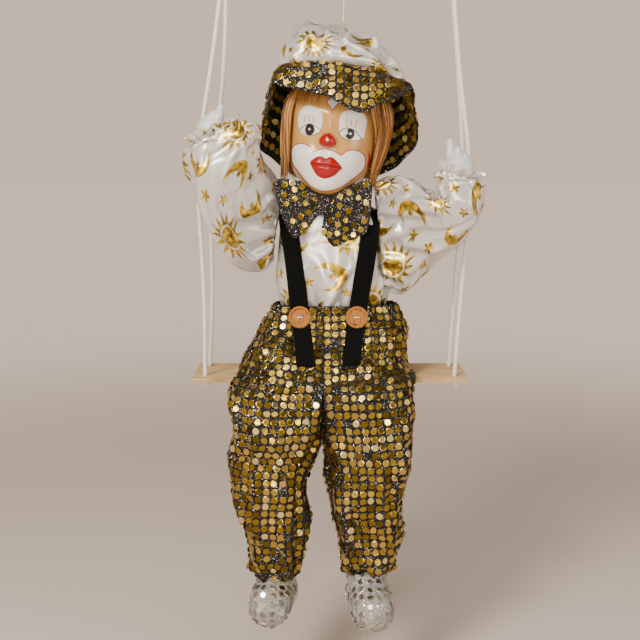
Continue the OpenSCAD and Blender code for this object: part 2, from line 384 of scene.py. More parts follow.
def brass():
    finish = Finish("brass", metallic=1.0, roughness=0.25)
    tarnish = finish.noise(900.0)
    shade = finish.ramp(tarnish, (0.3, srgb(0.62, 0.46, 0.2)), (0.7, srgb(0.9, 0.76, 0.42)))
    finish.put("Base Color", shade)
    finish.put("Roughness", finish.rise(tarnish, -0.6, 2.2))
    return finish.material


def cotton(name, colour, scale, depth):
    """Twisted or woven cotton, with shade between its yarns."""
    finish = Finish(name, roughness=0.85, specular_ior_level=0.25, sheen_weight=0.35, sheen_roughness=0.4)
    yarns = finish.noise(scale, 4.0)
    dark = tuple(c * 0.72 for c in colour)
    finish.put("Base Color", finish.ramp(yarns, (0.3, dark), (0.62, colour)))
    finish.bump(yarns, depth, 0.8)
    return finish.material


def glitter_cloth(name, ground, ground_light, flecks, share, scale):
    """Cloth strewn with glitter: each fleck is a small mirror at its own angle."""
    finish = Finish(name, specular_ior_level=0.4)
    fleck_colour = finish.cells(scale, "Color")
    parts = finish.node("SeparateColor", {0: fleck_colour})
    shown = finish.rise(parts.outputs[0], 1 - share, 1 - share + 0.02)
    middle = finish.rise(finish.cells(scale), 0.62, 0.5)
    metal = finish.times(shown, middle)
    weave = finish.noise(scale * 0.4, 3.0)
    cloth = finish.mix(weave, ground, ground_light)
    finish.put("Base Color", finish.mix(metal, cloth, finish.ramp(parts.outputs[1], *flecks)))
    finish.put("Metallic", finish.times(metal, 0.95))
    finish.put("Roughness", finish.math("SUBTRACT", 0.75, finish.times(metal, 0.5)))
    geometry = finish.node("NewGeometry").outputs["Normal"]
    lean = finish.vector("SUBTRACT", fleck_colour, (0.5, 0.5, 0.5))
    leaning = finish.vector("ADD", geometry, finish.vector("MULTIPLY", lean, (1.1, 1.1, 1.1)))
    facets = finish.vector("NORMALIZE", leaning)
    finish.bump(weave, 0.0003, 0.8, normal=facets)
    return finish.material


def sequin_foil(name, *stops, metallic=1.0):
    """Metal foil discs, each with its own shade from the stops, and a few with fine scratches. With the gold
    stops, the spread from dark to near white is partly each disc's own tone and partly painted reflection.
    """
    finish = Finish(name, metallic=metallic, roughness=0.2)
    shade = finish.ramp(finish.each_piece(), *stops)
    scuff = finish.noise(2200.0, 2.0)
    finish.put("Base Color", finish.mix(finish.times(scuff, 0.35), shade, stops[0][1]))
    finish.put("Roughness", finish.rise(scuff, -0.55, 2.6))
    finish.bump(finish.noise(700.0, 1.0), 0.00012, 0.5)
    return finish.material


class Print:
    """Gold foil shapes printed on white satin, in a tile of the cloth's own UVs in mm."""

    tile = (50.0, 45.0)
    row_shift = 0.38

    def __init__(self, finish):
        self.math, self.plus, self.times, self.rise = finish.math, finish.plus, finish.times, finish.rise
        uv = finish.node("SeparateXYZ", {0: finish.node("UVMap", uv_map="print").outputs[0]})
        v = self.math("DIVIDE", uv.outputs[1], self.tile[1])
        offset = self.times(self.math("FLOOR", v), self.row_shift)
        u = self.plus(self.math("DIVIDE", uv.outputs[0], self.tile[0]), offset)
        self.x = self.times(self.math("FRACT", u), self.tile[0])
        self.y = self.times(self.math("FRACT", v), self.tile[1])
        self.mask = 0.0

    def polar(self, at):
        """Distance from a point of the tile, and the angle round it."""
        x = self.math("SUBTRACT", self.x, at[0])
        y = self.math("SUBTRACT", self.y, at[1])
        far = self.math("SQRT", self.plus(self.times(x, x), self.times(y, y)))
        return far, self.math("ARCTAN2", y, x)

    def add(self, inside):
        self.mask = self.math("MAXIMUM", self.mask, inside)

    def rays(self, at, points, low, high, turn, sharp):
        """A round shape whose edge runs between two radii in that many points."""
        far, angle = self.polar(at)
        wave = self.math("PINGPONG", self.plus(self.times(angle, points / TAU), turn), 0.5)
        spike = self.math("POWER", self.times(wave, 2.0), sharp)
        edge = self.plus(self.times(spike, high - low), low)
        return self.rise(self.math("SUBTRACT", edge, far), -0.15, 0.25)

    def sun(self, at, size, turn):
        """A disc in a gap, with pointed rays round it."""
        far, _ = self.polar(at)
        past_disc = self.rise(far, size * 0.4, size * 0.44)
        before_rays = self.rise(far, size * 0.52, size * 0.48)
        gap = self.math("SUBTRACT", 1.0, self.times(past_disc, before_rays))
        self.add(self.times(self.rays(at, 15, size * 0.56, size, turn, 1.5), gap))

    def moon(self, at, size, towards):
        """A crescent that opens towards an angle, with a round nose in its hollow."""
        way = np.array([math.cos(math.radians(towards)), math.sin(math.radians(towards))])
        far, _ = self.polar(at)
        bite, _ = self.polar(np.array(at) + 0.45 * size * way)
        nose, _ = self.polar(np.array(at) - 0.18 * size * way)
        disc = self.rise(far, size + 0.2, size - 0.2)
        hollow = self.rise(bite, size * 0.78 - 0.2, size * 0.78 + 0.2)
        self.add(self.math("MAXIMUM", self.times(disc, hollow), self.rise(nose, size * 0.2, size * 0.16)))

    def star(self, at, size, turn):
        self.add(self.rays(at, 5, size * 0.36, size, turn, 1.0))


def satin():
    finish = Finish(
        "satin_print", roughness=0.3, specular_ior_level=0.8, sheen_weight=0.1, sheen_roughness=0.3,
        anisotropic=0.4, coat_weight=0.25, coat_roughness=0.16)
    foil = Print(finish)
    foil.sun((14.5, 14), 13.5, 0.1)
    foil.moon((37, 32), 8.8, 200)
    foil.moon((38, 10), 7.4, 60)
    foil.star((26.5, 28), 3.4, 0.2)
    foil.star((5, 33), 3.8, 0.35)
    foil.star((17, 38), 3.6, 0.0)
    foil.star((46, 21), 3.2, 0.15)
    rubbed = finish.noise(1500.0, 4.0)
    worn = finish.noise(260.0, 2.0)
    mask = finish.times(foil.mask, finish.rise(rubbed, 0.22, 0.36))
    gold = finish.ramp(
        worn, (0.35, srgb(0.48, 0.37, 0.06)), (0.52, srgb(0.75, 0.61, 0.14)),
        (0.70, srgb(0.95, 0.83, 0.34)))
    threads = finish.noise(1.0, 2.0, finish.stretched(5200, 5200, 700))
    white = finish.mix(threads, srgb(0.78, 0.765, 0.74), srgb(0.87, 0.855, 0.83))
    finish.put("Base Color", finish.mix(mask, white, gold))
    finish.put("Metallic", finish.plus(0.38, finish.times(mask, 0.5)))
    finish.put("Roughness", finish.plus(0.24, finish.times(threads, 0.14)))
    height = finish.plus(finish.times(foil.mask, 0.5), finish.times(threads, 0.3))
    finish.bump(height, 0.00012, 0.5)
    return finish.material


def felt():
    finish = Finish(
        "brace_felt", roughness=0.95, specular_ior_level=0.1, sheen_weight=0.02, sheen_roughness=0.6)
    fuzz = finish.noise(2600.0, 4.0)
    lint = finish.rise(finish.cells(900.0), 0.10, 0.04)
    cloth = finish.ramp(fuzz, (0.3, srgb(0.008, 0.009, 0.008)), (0.7, srgb(0.035, 0.038, 0.034)))
    finish.put("Base Color", finish.mix(finish.times(lint, 0.3), cloth, srgb(0.4, 0.4, 0.4)))
    finish.bump(fuzz, 0.0002, 0.7)
    return finish.material


def glazed(name, colour, dark, coat):
    """Unpainted bisque under a thin glaze, a little uneven."""
    finish = Finish(
        name, roughness=0.38, specular_ior_level=0.5, coat_weight=coat, coat_roughness=0.12,
        subsurface_weight=0.05)
    cloud = finish.noise(140.0, 3.0)
    finish.put("Base Color", finish.ramp(cloud, (0.3, dark), (0.65, colour)))
    finish.put("Roughness", finish.rise(cloud, -0.9, 2.4))
    finish.bump(finish.noise(500.0, 2.0), 0.0001, 0.4)
    return finish.material


def face_paint():
    """Paint under a gloss glaze: the colours are on the mesh's own points."""
    finish = Finish(
        "face_paint", roughness=0.3, specular_ior_level=0.35, coat_weight=0.42, coat_roughness=0.10)
    paint = finish.node("Attribute", attribute_name="paint").outputs["Color"]
    pale = finish.rise(finish.node("RGBToBW", {0: paint}).outputs[0], 0.0, 0.1)
    finish.put("Coat Weight", finish.plus(finish.times(pale, 0.32), 0.08))
    cloud = finish.noise(120.0, 3.0)
    shade = finish.mix(finish.times(cloud, 0.16), paint, srgb(0.35, 0.22, 0.12))
    finish.put("Base Color", shade)
    finish.put("Roughness", finish.rise(cloud, -0.8, 2.8))
    finish.bump(finish.noise(380.0, 2.0), 0.00012, 0.35)
    return finish.material


def hair():
    finish = Finish(
        "wig_hair", roughness=0.42, specular_ior_level=0.55, sheen_weight=0.2, sheen_roughness=0.3,
        anisotropic=0.5)
    strand = finish.each_piece()
    fine = finish.noise(1.0, 3.0, finish.stretched(2600, 2600, 60))
    share = finish.plus(finish.times(strand, 0.6), finish.times(fine, 0.45))
    finish.put("Base Color", finish.ramp(
        share, (0.15, srgb(0.32, 0.17, 0.04)), (0.5, srgb(0.65, 0.40, 0.12)),
        (0.88, srgb(0.90, 0.68, 0.32))))
    finish.bump(fine, 0.0002, 0.7)
    return finish.material


def button_wood():
    finish = Finish(
        "button_wood", roughness=0.62, specular_ior_level=0.25, coat_weight=0.04, coat_roughness=0.3)
    fibres = finish.noise(1.0, 4.0, finish.stretched(2600, 900, 260))
    finish.put("Base Color", finish.ramp(
        fibres, (0.3, srgb(0.46, 0.26, 0.08)), (0.55, srgb(0.66, 0.42, 0.17)),
        (0.75, srgb(0.76, 0.54, 0.26))))
    finish.bump(fibres, 0.00008, 0.6)
    return finish.material


# Painted reflection: the stops run from dark to near white. This is partly each disc's own tone and partly the
# glints and dark reflections of discs turned towards or away from the lamps.
GOLD_TONES_AND_PAINTED_GLINTS = (
    (0.0, srgb(0.38, 0.30, 0.08)), (0.25, srgb(0.55, 0.45, 0.14)), (0.6, srgb(0.70, 0.58, 0.23)),
    (0.88, srgb(0.84, 0.71, 0.37)), (0.97, srgb(0.96, 0.88, 0.60)))
SILVER_STOPS = (
    (0.0, srgb(0.42, 0.41, 0.38)), (0.35, srgb(0.72, 0.71, 0.68)), (0.7, srgb(0.86, 0.85, 0.82)),
    (0.95, srgb(0.97, 0.96, 0.93)))
FLECKS = ((0.0, srgb(0.5, 0.4, 0.2)), (0.5, srgb(0.8, 0.78, 0.72)), (0.9, srgb(0.95, 0.95, 0.95)))

HANGER_WOOD = wood("hanger_wood", srgb(0.80, 0.63, 0.42), srgb(0.60, 0.42, 0.24), (45, 900, 900), 0.45)
NECK_WOOD = wood("neck_wood", srgb(0.82, 0.66, 0.45), srgb(0.62, 0.45, 0.27), (900, 900, 60), 0.55)
PLYWOOD = plywood()
BRASS = brass()
ROPE_COTTON = cotton("swing_rope", srgb(0.93, 0.92, 0.88), 1900.0, 0.0002)
STRING_COTTON = cotton("string_white", srgb(0.95, 0.95, 0.93), 4000.0, 0.00005)
ELASTIC = cotton("collar_elastic", srgb(0.09, 0.09, 0.09), 2200.0, 0.0002)
GLITTER = glitter_cloth(
    "sequin_ground", srgb(0.010, 0.008, 0.006), srgb(0.045, 0.036, 0.025), FLECKS, 0.2, 1500.0)
SILVER_CLOTH = glitter_cloth(
    "silver_ground", srgb(0.50, 0.49, 0.46), srgb(0.72, 0.71, 0.68), FLECKS, 0.35, 1700.0)
GOLD_SEQUIN = sequin_foil("gold_sequin", *GOLD_TONES_AND_PAINTED_GLINTS)
INNER_SEQUIN = sequin_foil("gold_sequin_inside", *GOLD_TONES_AND_PAINTED_GLINTS, metallic=0.45)
SILVER_SEQUIN = sequin_foil("silver_sequin", *SILVER_STOPS)
SATIN = satin()
FELT = felt()
PORCELAIN = glazed("hand_porcelain", srgb(0.84, 0.835, 0.83), srgb(0.74, 0.74, 0.74), 0.3)
FACE_PAINT = face_paint()
HAIR = hair()
BUTTON_WOOD = button_wood()


def repaint(node, material, bevel=0.0):
    """A carried-over CAD node's own material, and softened edges."""
    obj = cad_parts[node]
    obj.data.materials.clear()
    obj.data.materials.append(material)
    if bevel:
        soften = obj.modifiers.new("soft_edges", "BEVEL")
        soften.width = bevel * MM
        soften.segments = 3
        soften.limit_method = "ANGLE"
        soften.angle_limit = math.radians(35)
        soften.harden_normals = True


# ---- Camera, light and floor

CAMERA_PLACE = (-7, -746.3, 170.4)
CAMERA_LENS = 58.9
CAMERA_DOWN = 10.1
LIT_PLACE = (0, -20, 60)
PALE_ROOM = srgb(0.88, 0.785, 0.705)
ROOM_GLOW = 1.15
OVERHEAD_GLOW = 0.15
FLOOR_Z = -225
FLOOR_HALF = 8000


def make_camera():
    data = bpy.data.cameras.new("camera")
    data.sensor_width = 36
    data.lens = CAMERA_LENS
    camera = bpy.data.objects.new("camera", data)
    camera.location = row(CAMERA_PLACE)
    camera.rotation_euler = (math.radians(90 - CAMERA_DOWN), 0, 0)
    bpy.context.scene.collection.objects.link(camera)
    bpy.context.scene.camera = camera


def make_light(name, place, size, power, colour):
    data = bpy.data.lights.new(name, "AREA")
    data.shape = "DISK"
    data.size = size
    data.energy = power
    data.color = colour
    light = bpy.data.objects.new(name, data)
    bpy.context.scene.collection.objects.link(light)
    light.location = row(place)
    towards = Vector(row(LIT_PLACE)) - Vector(row(place))
    light.rotation_euler = towards.to_track_quat("-Z", "Y").to_euler()


def make_stage():
    """A plain pale floor below the hanging puppet that runs out into a pale room, dimmer overhead."""
    corners = [(FLOOR_HALF * x, FLOOR_HALF * y, FLOOR_Z) for x, y in ((-1, -1), (1, -1), (1, 1), (-1, 1))]
    finish = Finish("floor", roughness=0.8, specular_ior_level=0.15)
    apart = finish.vector("MULTIPLY", finish.place(), (1, 1, 0))
    far = finish.node("VectorMath", {0: apart}, operation="LENGTH").outputs["Value"]
    share = finish.rise(far, 0.3, 1.4)
    mottle = finish.noise(3.0, 2.0)
    pale = finish.mix(mottle, srgb(0.87, 0.81, 0.76), srgb(0.89, 0.83, 0.78))
    finish.put("Base Color", finish.mix(share, pale, (0.0, 0.0, 0.0)))
    finish.put("Emission Color", PALE_ROOM)
    finish.put("Emission Strength", finish.times(share, ROOM_GLOW))
    add_mesh("floor", corners, [[0, 1, 2, 3]], finish.material)

    world = bpy.data.worlds.new("room")
    world.use_nodes = True
    tree = world.node_tree
    background = tree.nodes["Background"]
    background.inputs[0].default_value = (*PALE_ROOM, 1)
    parts = tree.nodes.new("ShaderNodeSeparateXYZ")
    tree.links.new(tree.nodes.new("ShaderNodeTexCoord").outputs["Generated"], parts.inputs[0])
    overhead = tree.nodes.new("ShaderNodeMapRange")
    overhead.interpolation_type = "SMOOTHSTEP"
    tree.links.new(parts.outputs[2], overhead.inputs["Value"])
    limits = {"From Min": 0.12, "From Max": 0.6, "To Min": ROOM_GLOW, "To Max": OVERHEAD_GLOW}
    for limit, value in limits.items():
        overhead.inputs[limit].default_value = value
    tree.links.new(overhead.outputs[0], background.inputs[1])
    bpy.context.scene.world = world


make_camera()


# ---- Cords: the swing's two ropes and the string to the head

ROD_Y, ROD_Z, ROD_R, GROOVE = -21, 280, 6, 0.8
ROPE_D = 3
STRING_D = 0.8
EYELET_Z = 126
EYELET = NECK + turn_matrix("Y", 6) @ np.array([0, 0, EYELET_Z])

LEFT_FRONT = [
    (89, -17, -3), (89, -17, 2), (90.3, -18.3, 30), (92, -19.6, 60), (94, -20.9, 90),
    (95.3, -22, 115), (95.3, -23, 140), (94, -23.9, 160), (91.2, -24.7, 180),
    (87.5, -25.7, 205), (84, -26.9, 235), (81.6, -27.9, 262)]
LEFT_REAR = [
    (82.6, -14.1, 262), (85.5, -11.4, 235), (88.5, -8, 205), (91.5, -4.4, 175), (93.5, 0, 140),
    (93.2, 4.2, 105), (91.5, 9, 65), (90, 13.4, 30), (89, 17, 2), (89, 17, -3)]
RIGHT_FRONT = [
    (-89, -17, -3), (-89, -17, 2), (-88.5, -18.3, 30), (-88.5, -19.6, 60), (-89.5, -21.1, 95),
    (-91, -22.6, 130), (-91, -23.4, 150), (-88, -24.3, 170), (-84.5, -25.1, 190),
    (-80, -26.1, 215), (-76, -27.1, 240), (-73, -27.9, 262)]
RIGHT_REAR = [
    (-70.5, -14.1, 262), (-71.5, -11.4, 235), (-74, -8, 205), (-78, -4.4, 175), (-83, 0, 140),
    (-85, 4.2, 105), (-85.5, 9, 65), (-87, 13.4, 30), (-89, 17, 2), (-89, 17, -3)]


def over_rod(start_x, end_x, radius, angles):
    """A turn over the rod: 180 degrees is its front and 0 its back."""
    turns = np.radians(angles)
    return np.stack([
        np.linspace(start_x, end_x, len(turns)),
        ROD_Y + radius * np.cos(turns),
        ROD_Z + radius * np.sin(turns)], axis=1)


def braid(along, angle):
    """Crossing yarns in relief."""
    one = np.abs(np.sin(2 * angle + along * 1.9))
    other = np.abs(np.sin(2 * angle - along * 1.9))
    return 0.88 + 0.14 * np.maximum(one, other)


def knot(at):
    """A stopper knot under a hole: the rope crosses itself three times, and its end shows."""
    sides = 10
    t = np.linspace(0, TAU, 90, endpoint=False)
    round_it = 1.75 + 0.85 * np.cos(3 * t)
    height = -2.3 + 0.95 * np.sin(3 * t)
    line = np.stack([round_it * np.cos(2 * t), round_it * np.sin(2 * t), height], axis=1) + at
    tangents = unit(np.roll(line, -1, axis=0) - np.roll(line, 1, axis=0))
    across = unit(np.cross(tangents, (0.1, 0.2, 1)))
    over = np.cross(tangents, across)
    radius = 1.2 * braid(lengths_along(line)[:, None], round_angles(sides)[None, :])
    loop = rings_round(line, across, over, radius)
    tail = evenly(np.array(at) + np.array([(0.5, 0.6, -2.2), (0.7, 0.9, -3.6), (1.2, 0.8, -5.6)]), 0.5)
    end = tube_points(tail, 1.25, sides, braid)
    return [(loop, ring_faces(len(line), sides)), (end, tube_faces(len(tail), sides))]


def swing_rope(side, front, rear):
    wrap = ROD_R - GROOVE + ROPE_D / 2 + 0.2
    turn = over_rod(front[-1][0], rear[0][0], wrap, np.arange(180, -1, -20))
    route = np.concatenate([front, turn, rear])
    line = evenly(curve_through(route, np.linspace(0, 1, 1600)), 0.8)
    sides = 12
    points = tube_points(line, ROPE_D / 2, sides, braid)
    rope = add_mesh(f"braided_rope_{side}", points, tube_faces(len(line), sides), ROPE_COTTON)
    knots = knot((front[0][0], front[0][1], -3)) + knot((rear[-1][0], rear[-1][1], -3))
    ends = add_mesh(f"stopper_knots_{side}", *joined(knots), ROPE_COTTON)
    finished(rope, "swing", "swing_rope", f"rope_{side}")
    finished(ends, "swing", "swing_rope", f"rope_knots_{side}")
    float(lengths_along(line)[-1]) * MM


def head_string():
    wrap = ROD_R - GROOVE + STRING_D / 2 + 0.2
    foot = EYELET + [0, 0, 2.2]
    top = np.array([foot[0], ROD_Y + wrap, ROD_Z - 2])
    turn = over_rod(foot[0], foot[0], wrap, np.arange(0, 181, 20))
    rise = [foot + share * (top - foot) for share in (0, 0.33, 0.67, 1)]
    end = [(foot[0], ROD_Y - wrap, ROD_Z - 6)]
    line = evenly(np.concatenate([rise, turn, end]), 0.6)
    points = tube_points(
        line, STRING_D / 2, 8, lambda along, angle: 0.94 + 0.1 * np.cos(2 * angle + 5 * along))
    string = add_mesh("spun_string", points, tube_faces(len(line), 8), STRING_COTTON)
    finished(string, None, "string_white", "head_string")
    float(lengths_along(line)[-1]) * MM
    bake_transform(string)


swing_rope("left", LEFT_FRONT, LEFT_REAR)
swing_rope("right", RIGHT_FRONT, RIGHT_REAR)
head_string()
make_stage()


# ---- Sequins

def disc_shape(radius, sides=12):
    """Points and triangles of one cupped disc that lies on its rim, +Z out of the cloth."""
    angle = round_angles(sides)
    circle = np.stack([np.cos(angle), np.sin(angle), np.zeros(sides)], axis=1)
    flat = circle * 0.8 * radius + [0, 0, 0.3]
    rim = circle * radius + [0, 0, 0.18]
    foot = circle * radius * 0.98 + [0, 0, -0.1]
    points = np.concatenate([[[0, 0, 0.27]], flat, rim, foot])
    faces = []
    for k in range(sides):
        n = (k + 1) % sides
        faces.append([0, 1 + k, 1 + n])
        for ring in (1, 1 + sides):
            faces.append([ring + k, ring + sides + k, ring + sides + n])
            faces.append([ring + k, ring + sides + n, ring + n])
    return points, np.array(faces)


def lay_discs(name, places, normals, rows_along, radius, tilt, material):
    """One mesh of all discs of a piece, each leaning its own way."""
    shape, faces = disc_shape(radius)
    out = unit(normals + rng.normal(0, tilt, normals.shape))
    along = unit(rows_along - np.sum(rows_along * out, axis=1, keepdims=True) * out)
    beside = np.cross(out, along)
    frames = np.stack([along, beside, out], axis=1)
    points = places[:, None] + shape[None] @ frames
    count = len(shape)
    all_faces = (faces[None] + count * np.arange(len(places))[:, None, None]).reshape(-1, 3)
    return add_mesh(name, points, all_faces, material, smooth=False)


def rows_on_grid(grid, normals, pitch, column, closed=True):
    """Places in rows that start from one column of a grid of points, and run both ways."""
    along = lengths_along(grid[:, column])
    places, outs, ways = [], [], []
    for mark in np.arange(pitch * 0.6, along[-1] - pitch * 0.3, pitch):
        at = np.interp(mark, along, np.arange(len(along)))
        i = min(int(at), len(grid) - 2)
        f = at - i
        line = (1 - f) * grid[i] + f * grid[i + 1]
        out = (1 - f) * normals[i] + f * normals[i + 1]
        line = np.roll(line, -column, axis=0) if closed else line
        out = np.roll(out, -column, axis=0) if closed else out
        if closed:
            line = np.concatenate([line, line[:1]])
            out = np.concatenate([out, out[:1]])
        length = lengths_along(line)
        start = 0.0 if closed else length[column]
        reach = length[-1] / 2 if closed else max(start, length[-1] - start)
        steps = np.arange(-int(reach / pitch), int(reach / pitch) + 1)
        marks = start + steps * pitch
        if closed:
            marks = np.mod(marks, length[-1])
        else:
            marks = marks[(marks > pitch * 0.4) & (marks < length[-1] - pitch * 0.4)]
        place = np.stack([np.interp(marks, length, line[:, k]) for k in range(3)], axis=1)
        further = np.stack([np.interp(marks + 0.5, length, line[:, k]) for k in range(3)], axis=1)
        places.append(place)
        ways.append(unit(further - place + [1e-6, 0, 0]))
        outs.append(unit(np.stack([np.interp(marks, length, out[:, k]) for k in range(3)], axis=1)))
    return np.concatenate(places), np.concatenate(outs), np.concatenate(ways)


def thinned(places, outs, ways, least):
    """Leaves out the places that crowd an earlier one."""
    kept = []
    for i in range(len(places)):
        if not kept or np.min(np.linalg.norm(places[kept] - places[i], axis=1)) > least:
            kept.append(i)
    return places[kept], outs[kept], ways[kept]


SEQUIN_R = 2.35
SEQUIN_PITCH = 5.6


def sequins_on(
        name, grid, column, material=GOLD_SEQUIN, closed=True, flip=False, radius=SEQUIN_R, pitch=SEQUIN_PITCH,
        keep=None, lost=0.03, tilt=0.17, lean=0.0):
    """Rows of discs on a grid of cloth points. A limp cloth's discs lean towards the front."""
    normals = grid_normals(grid, closed) * (-1 if flip else 1)
    places, outs, ways = rows_on_grid(grid, normals, pitch, column, closed)
    outs = unit(outs + [0, -lean, 0])
    if keep is not None:
        chosen = keep(places)
        places, outs, ways = places[chosen], outs[chosen], ways[chosen]
    places, outs, ways = thinned(places, outs, ways, radius * 1.85)
    left = rng.random(len(places)) > lost
    places, outs, ways = places[left], outs[left], ways[left]
    places = places + rng.normal(0, 0.12, places.shape) + (0.35 + lean) * outs
    return lay_discs(name, places, outs, ways, radius, tilt, material)


# ---- Cloth

def relax_cloth(points, faces, pinned, grow, pressure, frames, most):
    """Points after Blender's cloth has wrinkled the piece, ten times as big as it is.
    The cloth is grow larger than the shape, and no point moves further than most mm."""
    scale = 0.01
    mesh = bpy.data.meshes.new("wrinkling")
    mesh.from_pydata((points * scale).tolist(), [], [list(map(int, f)) for f in faces])
    obj = bpy.data.objects.new("wrinkling", mesh)
    bpy.context.scene.collection.objects.link(obj)
    group = obj.vertex_groups.new(name="pinned")
    group.add([int(i) for i in np.flatnonzero(pinned)], 1.0, "REPLACE")
    cloth = obj.modifiers.new("cloth", "CLOTH")
    settings = cloth.settings
    settings.quality = 6
    settings.mass = 0.15
    settings.tension_stiffness = 12
    settings.compression_stiffness = 12
    settings.shear_stiffness = 4
    settings.bending_stiffness = 0.15
    settings.air_damping = 2
    settings.shrink_min = -grow
    settings.vertex_group_mass = "pinned"
    settings.use_pressure = pressure != 0
    settings.uniform_pressure_force = pressure
    settings.effector_weights.gravity = 0
    cloth.point_cache.frame_start = 1
    cloth.point_cache.frame_end = frames
    scene = bpy.context.scene
    for number in range(1, frames + 1):
        scene.frame_set(number)
    result = obj.evaluated_get(bpy.context.evaluated_depsgraph_get())
    moved = np.empty(len(points) * 3)
    result.data.vertices.foreach_get("co", moved)
    shift = moved.reshape(-1, 3) / scale - points
    far = np.linalg.norm(shift, axis=1, keepdims=True)
    shift = shift * np.minimum(1, most / np.maximum(far, 1e-6))
    bpy.data.objects.remove(obj)
    bpy.data.meshes.remove(mesh)
    scene.frame_set(1)
    return points + np.nan_to_num(shift)


def waves(*terms):
    """A sum of sine waves over two shares: (size, times round, times along, phase)."""
    def value(u, v):
        return sum(
            size * np.sin(TAU * (round_it * u + along * v) + phase) for size, round_it, along,
            phase in terms)
    return value


def creases(u, v, around, along, count, length, width, size, lean=1.0):
    """Random short folds in mm over two shares of a closed cloth: ridges and valleys.
    lean 1 lets them run any way and 0 keeps them along the piece."""
    total = np.zeros(np.broadcast(u, v).shape)
    for _ in range(count):
        at_u, at_v = rng.random(), rng.uniform(0.05, 0.95)
        turn = rng.normal(0, 0.9) * lean
        x = ((u - at_u + 0.5) % 1 - 0.5) * around
        y = (v - at_v) * along
        beside = x * math.cos(turn) + y * math.sin(turn)
        ahead = -x * math.sin(turn) + y * math.cos(turn)
        beside = beside + 0.008 * rng.normal() * ahead ** 2
        w = width * rng.uniform(0.7, 1.5)
        reach = length * rng.uniform(0.6, 1.4)
        height = size * rng.uniform(0.4, 1.2) * (1 if rng.random() < 0.6 else -1)
        total += height * np.exp(-(beside / w) ** 2) * np.exp(-(ahead / reach) ** 4)
    return total


def subdivided(obj):
    rounder = obj.modifiers.new("rounder", "SUBSURF")
    rounder.levels = 1
    rounder.render_levels = 1


def wrinkled(name, grid, uv, pinned, **cloth):
    """A satin piece on a closed grid, wrinkled between its pinned first and last rows."""
    faces = grid_faces(*grid.shape[:2])
    points = relax_cloth(grid.reshape(-1, 3), faces, pinned_rows(*grid.shape[:2], *pinned), **cloth)
    obj = add_mesh(name, points, faces, SATIN, uv=uv)
    subdivided(obj)
    return obj, points, faces


# ---- Trousers: two half garments, joined at the middle seam as far as the crotch

SEAM_X = -5
SEAM_OVERLAP = 1.6
BOARD_FRONT_Y = -25.6
BOARD_TOP_Z = 0.5
# Front edge (y, z), back edge (y, z), inner x and outer x, from the waist to the turned-in hem.
RIGHT_LEG = [
    (-27.5, 52, 21.5, 50, -4.3, -38.5), (-31, 40, 23.5, 38, -4.3, -46), (-42, 22, 24.5, 20, -4.3, -56),
    (-57, 9, 24.5, 3, -4.3, -63), (-64.5, 1, 0, 1.2, -4.3, -66), (-68.5, -16, -26.5, -8, -3.8, -67.5),
    (-69.5, -36, -27.2, -30, -4.6, -68.5), (-69, -58, -27, -56, -14.5, -68),
    (-68, -82, -26.6, -81, -17.5, -65),
    (-66.5, -108, -26, -106, -19.5, -60), (-65, -124, -27, -121, -19, -56),
    (-61.5, -132.5, -30, -129, -21, -54),
    (-60, -133.5, -33, -130.5, -23.5, -51.5)]
LEFT_LEG = [
    (-27.5, 52, 21.5, 50, -5.7, 47.5), (-31, 40, 23.5, 38, -5.7, 51.5), (-42, 22, 24.5, 20, -5.7, 54),
    (-57, 9, 24.5, 3, -5.7, 55.5), (-64.5, 1, 0, 1.2, -5.7, 56.5), (-68.5, -16, -26.5, -8, -6.2, 56.8),
    (-69.5, -36, -27.2, -30, -6, 57), (-69, -58, -27, -56, -2, 55.5), (-68, -82, -26.6, -81, 1, 51.8),
    (-66.5, -108, -26, -106, 5, 48.5), (-65, -124, -27, -121, 8.5, 46), (-61.5, -132, -30, -129, 10.5, 44),
    (-60, -133, -33, -130.5, 13, 41.5)]


def leg_loop(front, back, inner_x, outer_x, morph, columns):
    """A loop of cloth from its inner front corner round the outside and back.
    It is a half ellipse with a flat inner side where morph is 0, and a rounded tube where it is 1."""
    outside = int(columns * 0.72)
    middle = (front + back) / 2
    half = (front - back) / 2
    reach = outer_x - inner_x
    a = np.radians(np.linspace(90, -90, outside, endpoint=False))
    b = np.radians(np.linspace(135, -135, outside, endpoint=False))
    down = np.linspace(1, -1, columns - outside, endpoint=False)
    c = np.radians(np.linspace(-135, -225, columns - outside, endpoint=False))
    depth_a, side_a = powered(np.sin(a), 0.8), powered(np.cos(a), 0.8)
    depth_b, side_b = powered(np.sin(b), 0.82), powered(np.cos(b), 0.82)
    depth_c, side_c = powered(np.sin(c), 0.82), powered(np.cos(c), 0.82)
    flat_side = np.concatenate([side_a, np.zeros(columns - outside)])
    flat_depth = np.concatenate([depth_a, -down])
    tube_side = np.concatenate([side_b, side_c]) * 0.5 + 0.5
    tube_depth = np.concatenate([depth_b, depth_c])
    side = (1 - morph) * flat_side + morph * tube_side
    depth = (1 - morph) * flat_depth + morph * tube_depth
    points = np.empty((columns, 3))
    points[:, 0] = inner_x + reach * side
    points[:, 1] = middle[0] + half[0] * depth
    points[:, 2] = middle[1] + half[1] * depth
    return points


def off_board(points):
    """Cloth that would be in the board lies on it, or hangs in front of it."""
    y, z = points[..., 1], points[..., 2]
    inside = (y > BOARD_FRONT_Y) & (z < BOARD_TOP_Z)
    nearer_front = (y - BOARD_FRONT_Y) < (BOARD_TOP_Z - z)
    points[..., 1] = np.where(inside & nearer_front, BOARD_FRONT_Y, y)
    points[..., 2] = np.where(inside & ~nearer_front, BOARD_TOP_Z, z)
    return points


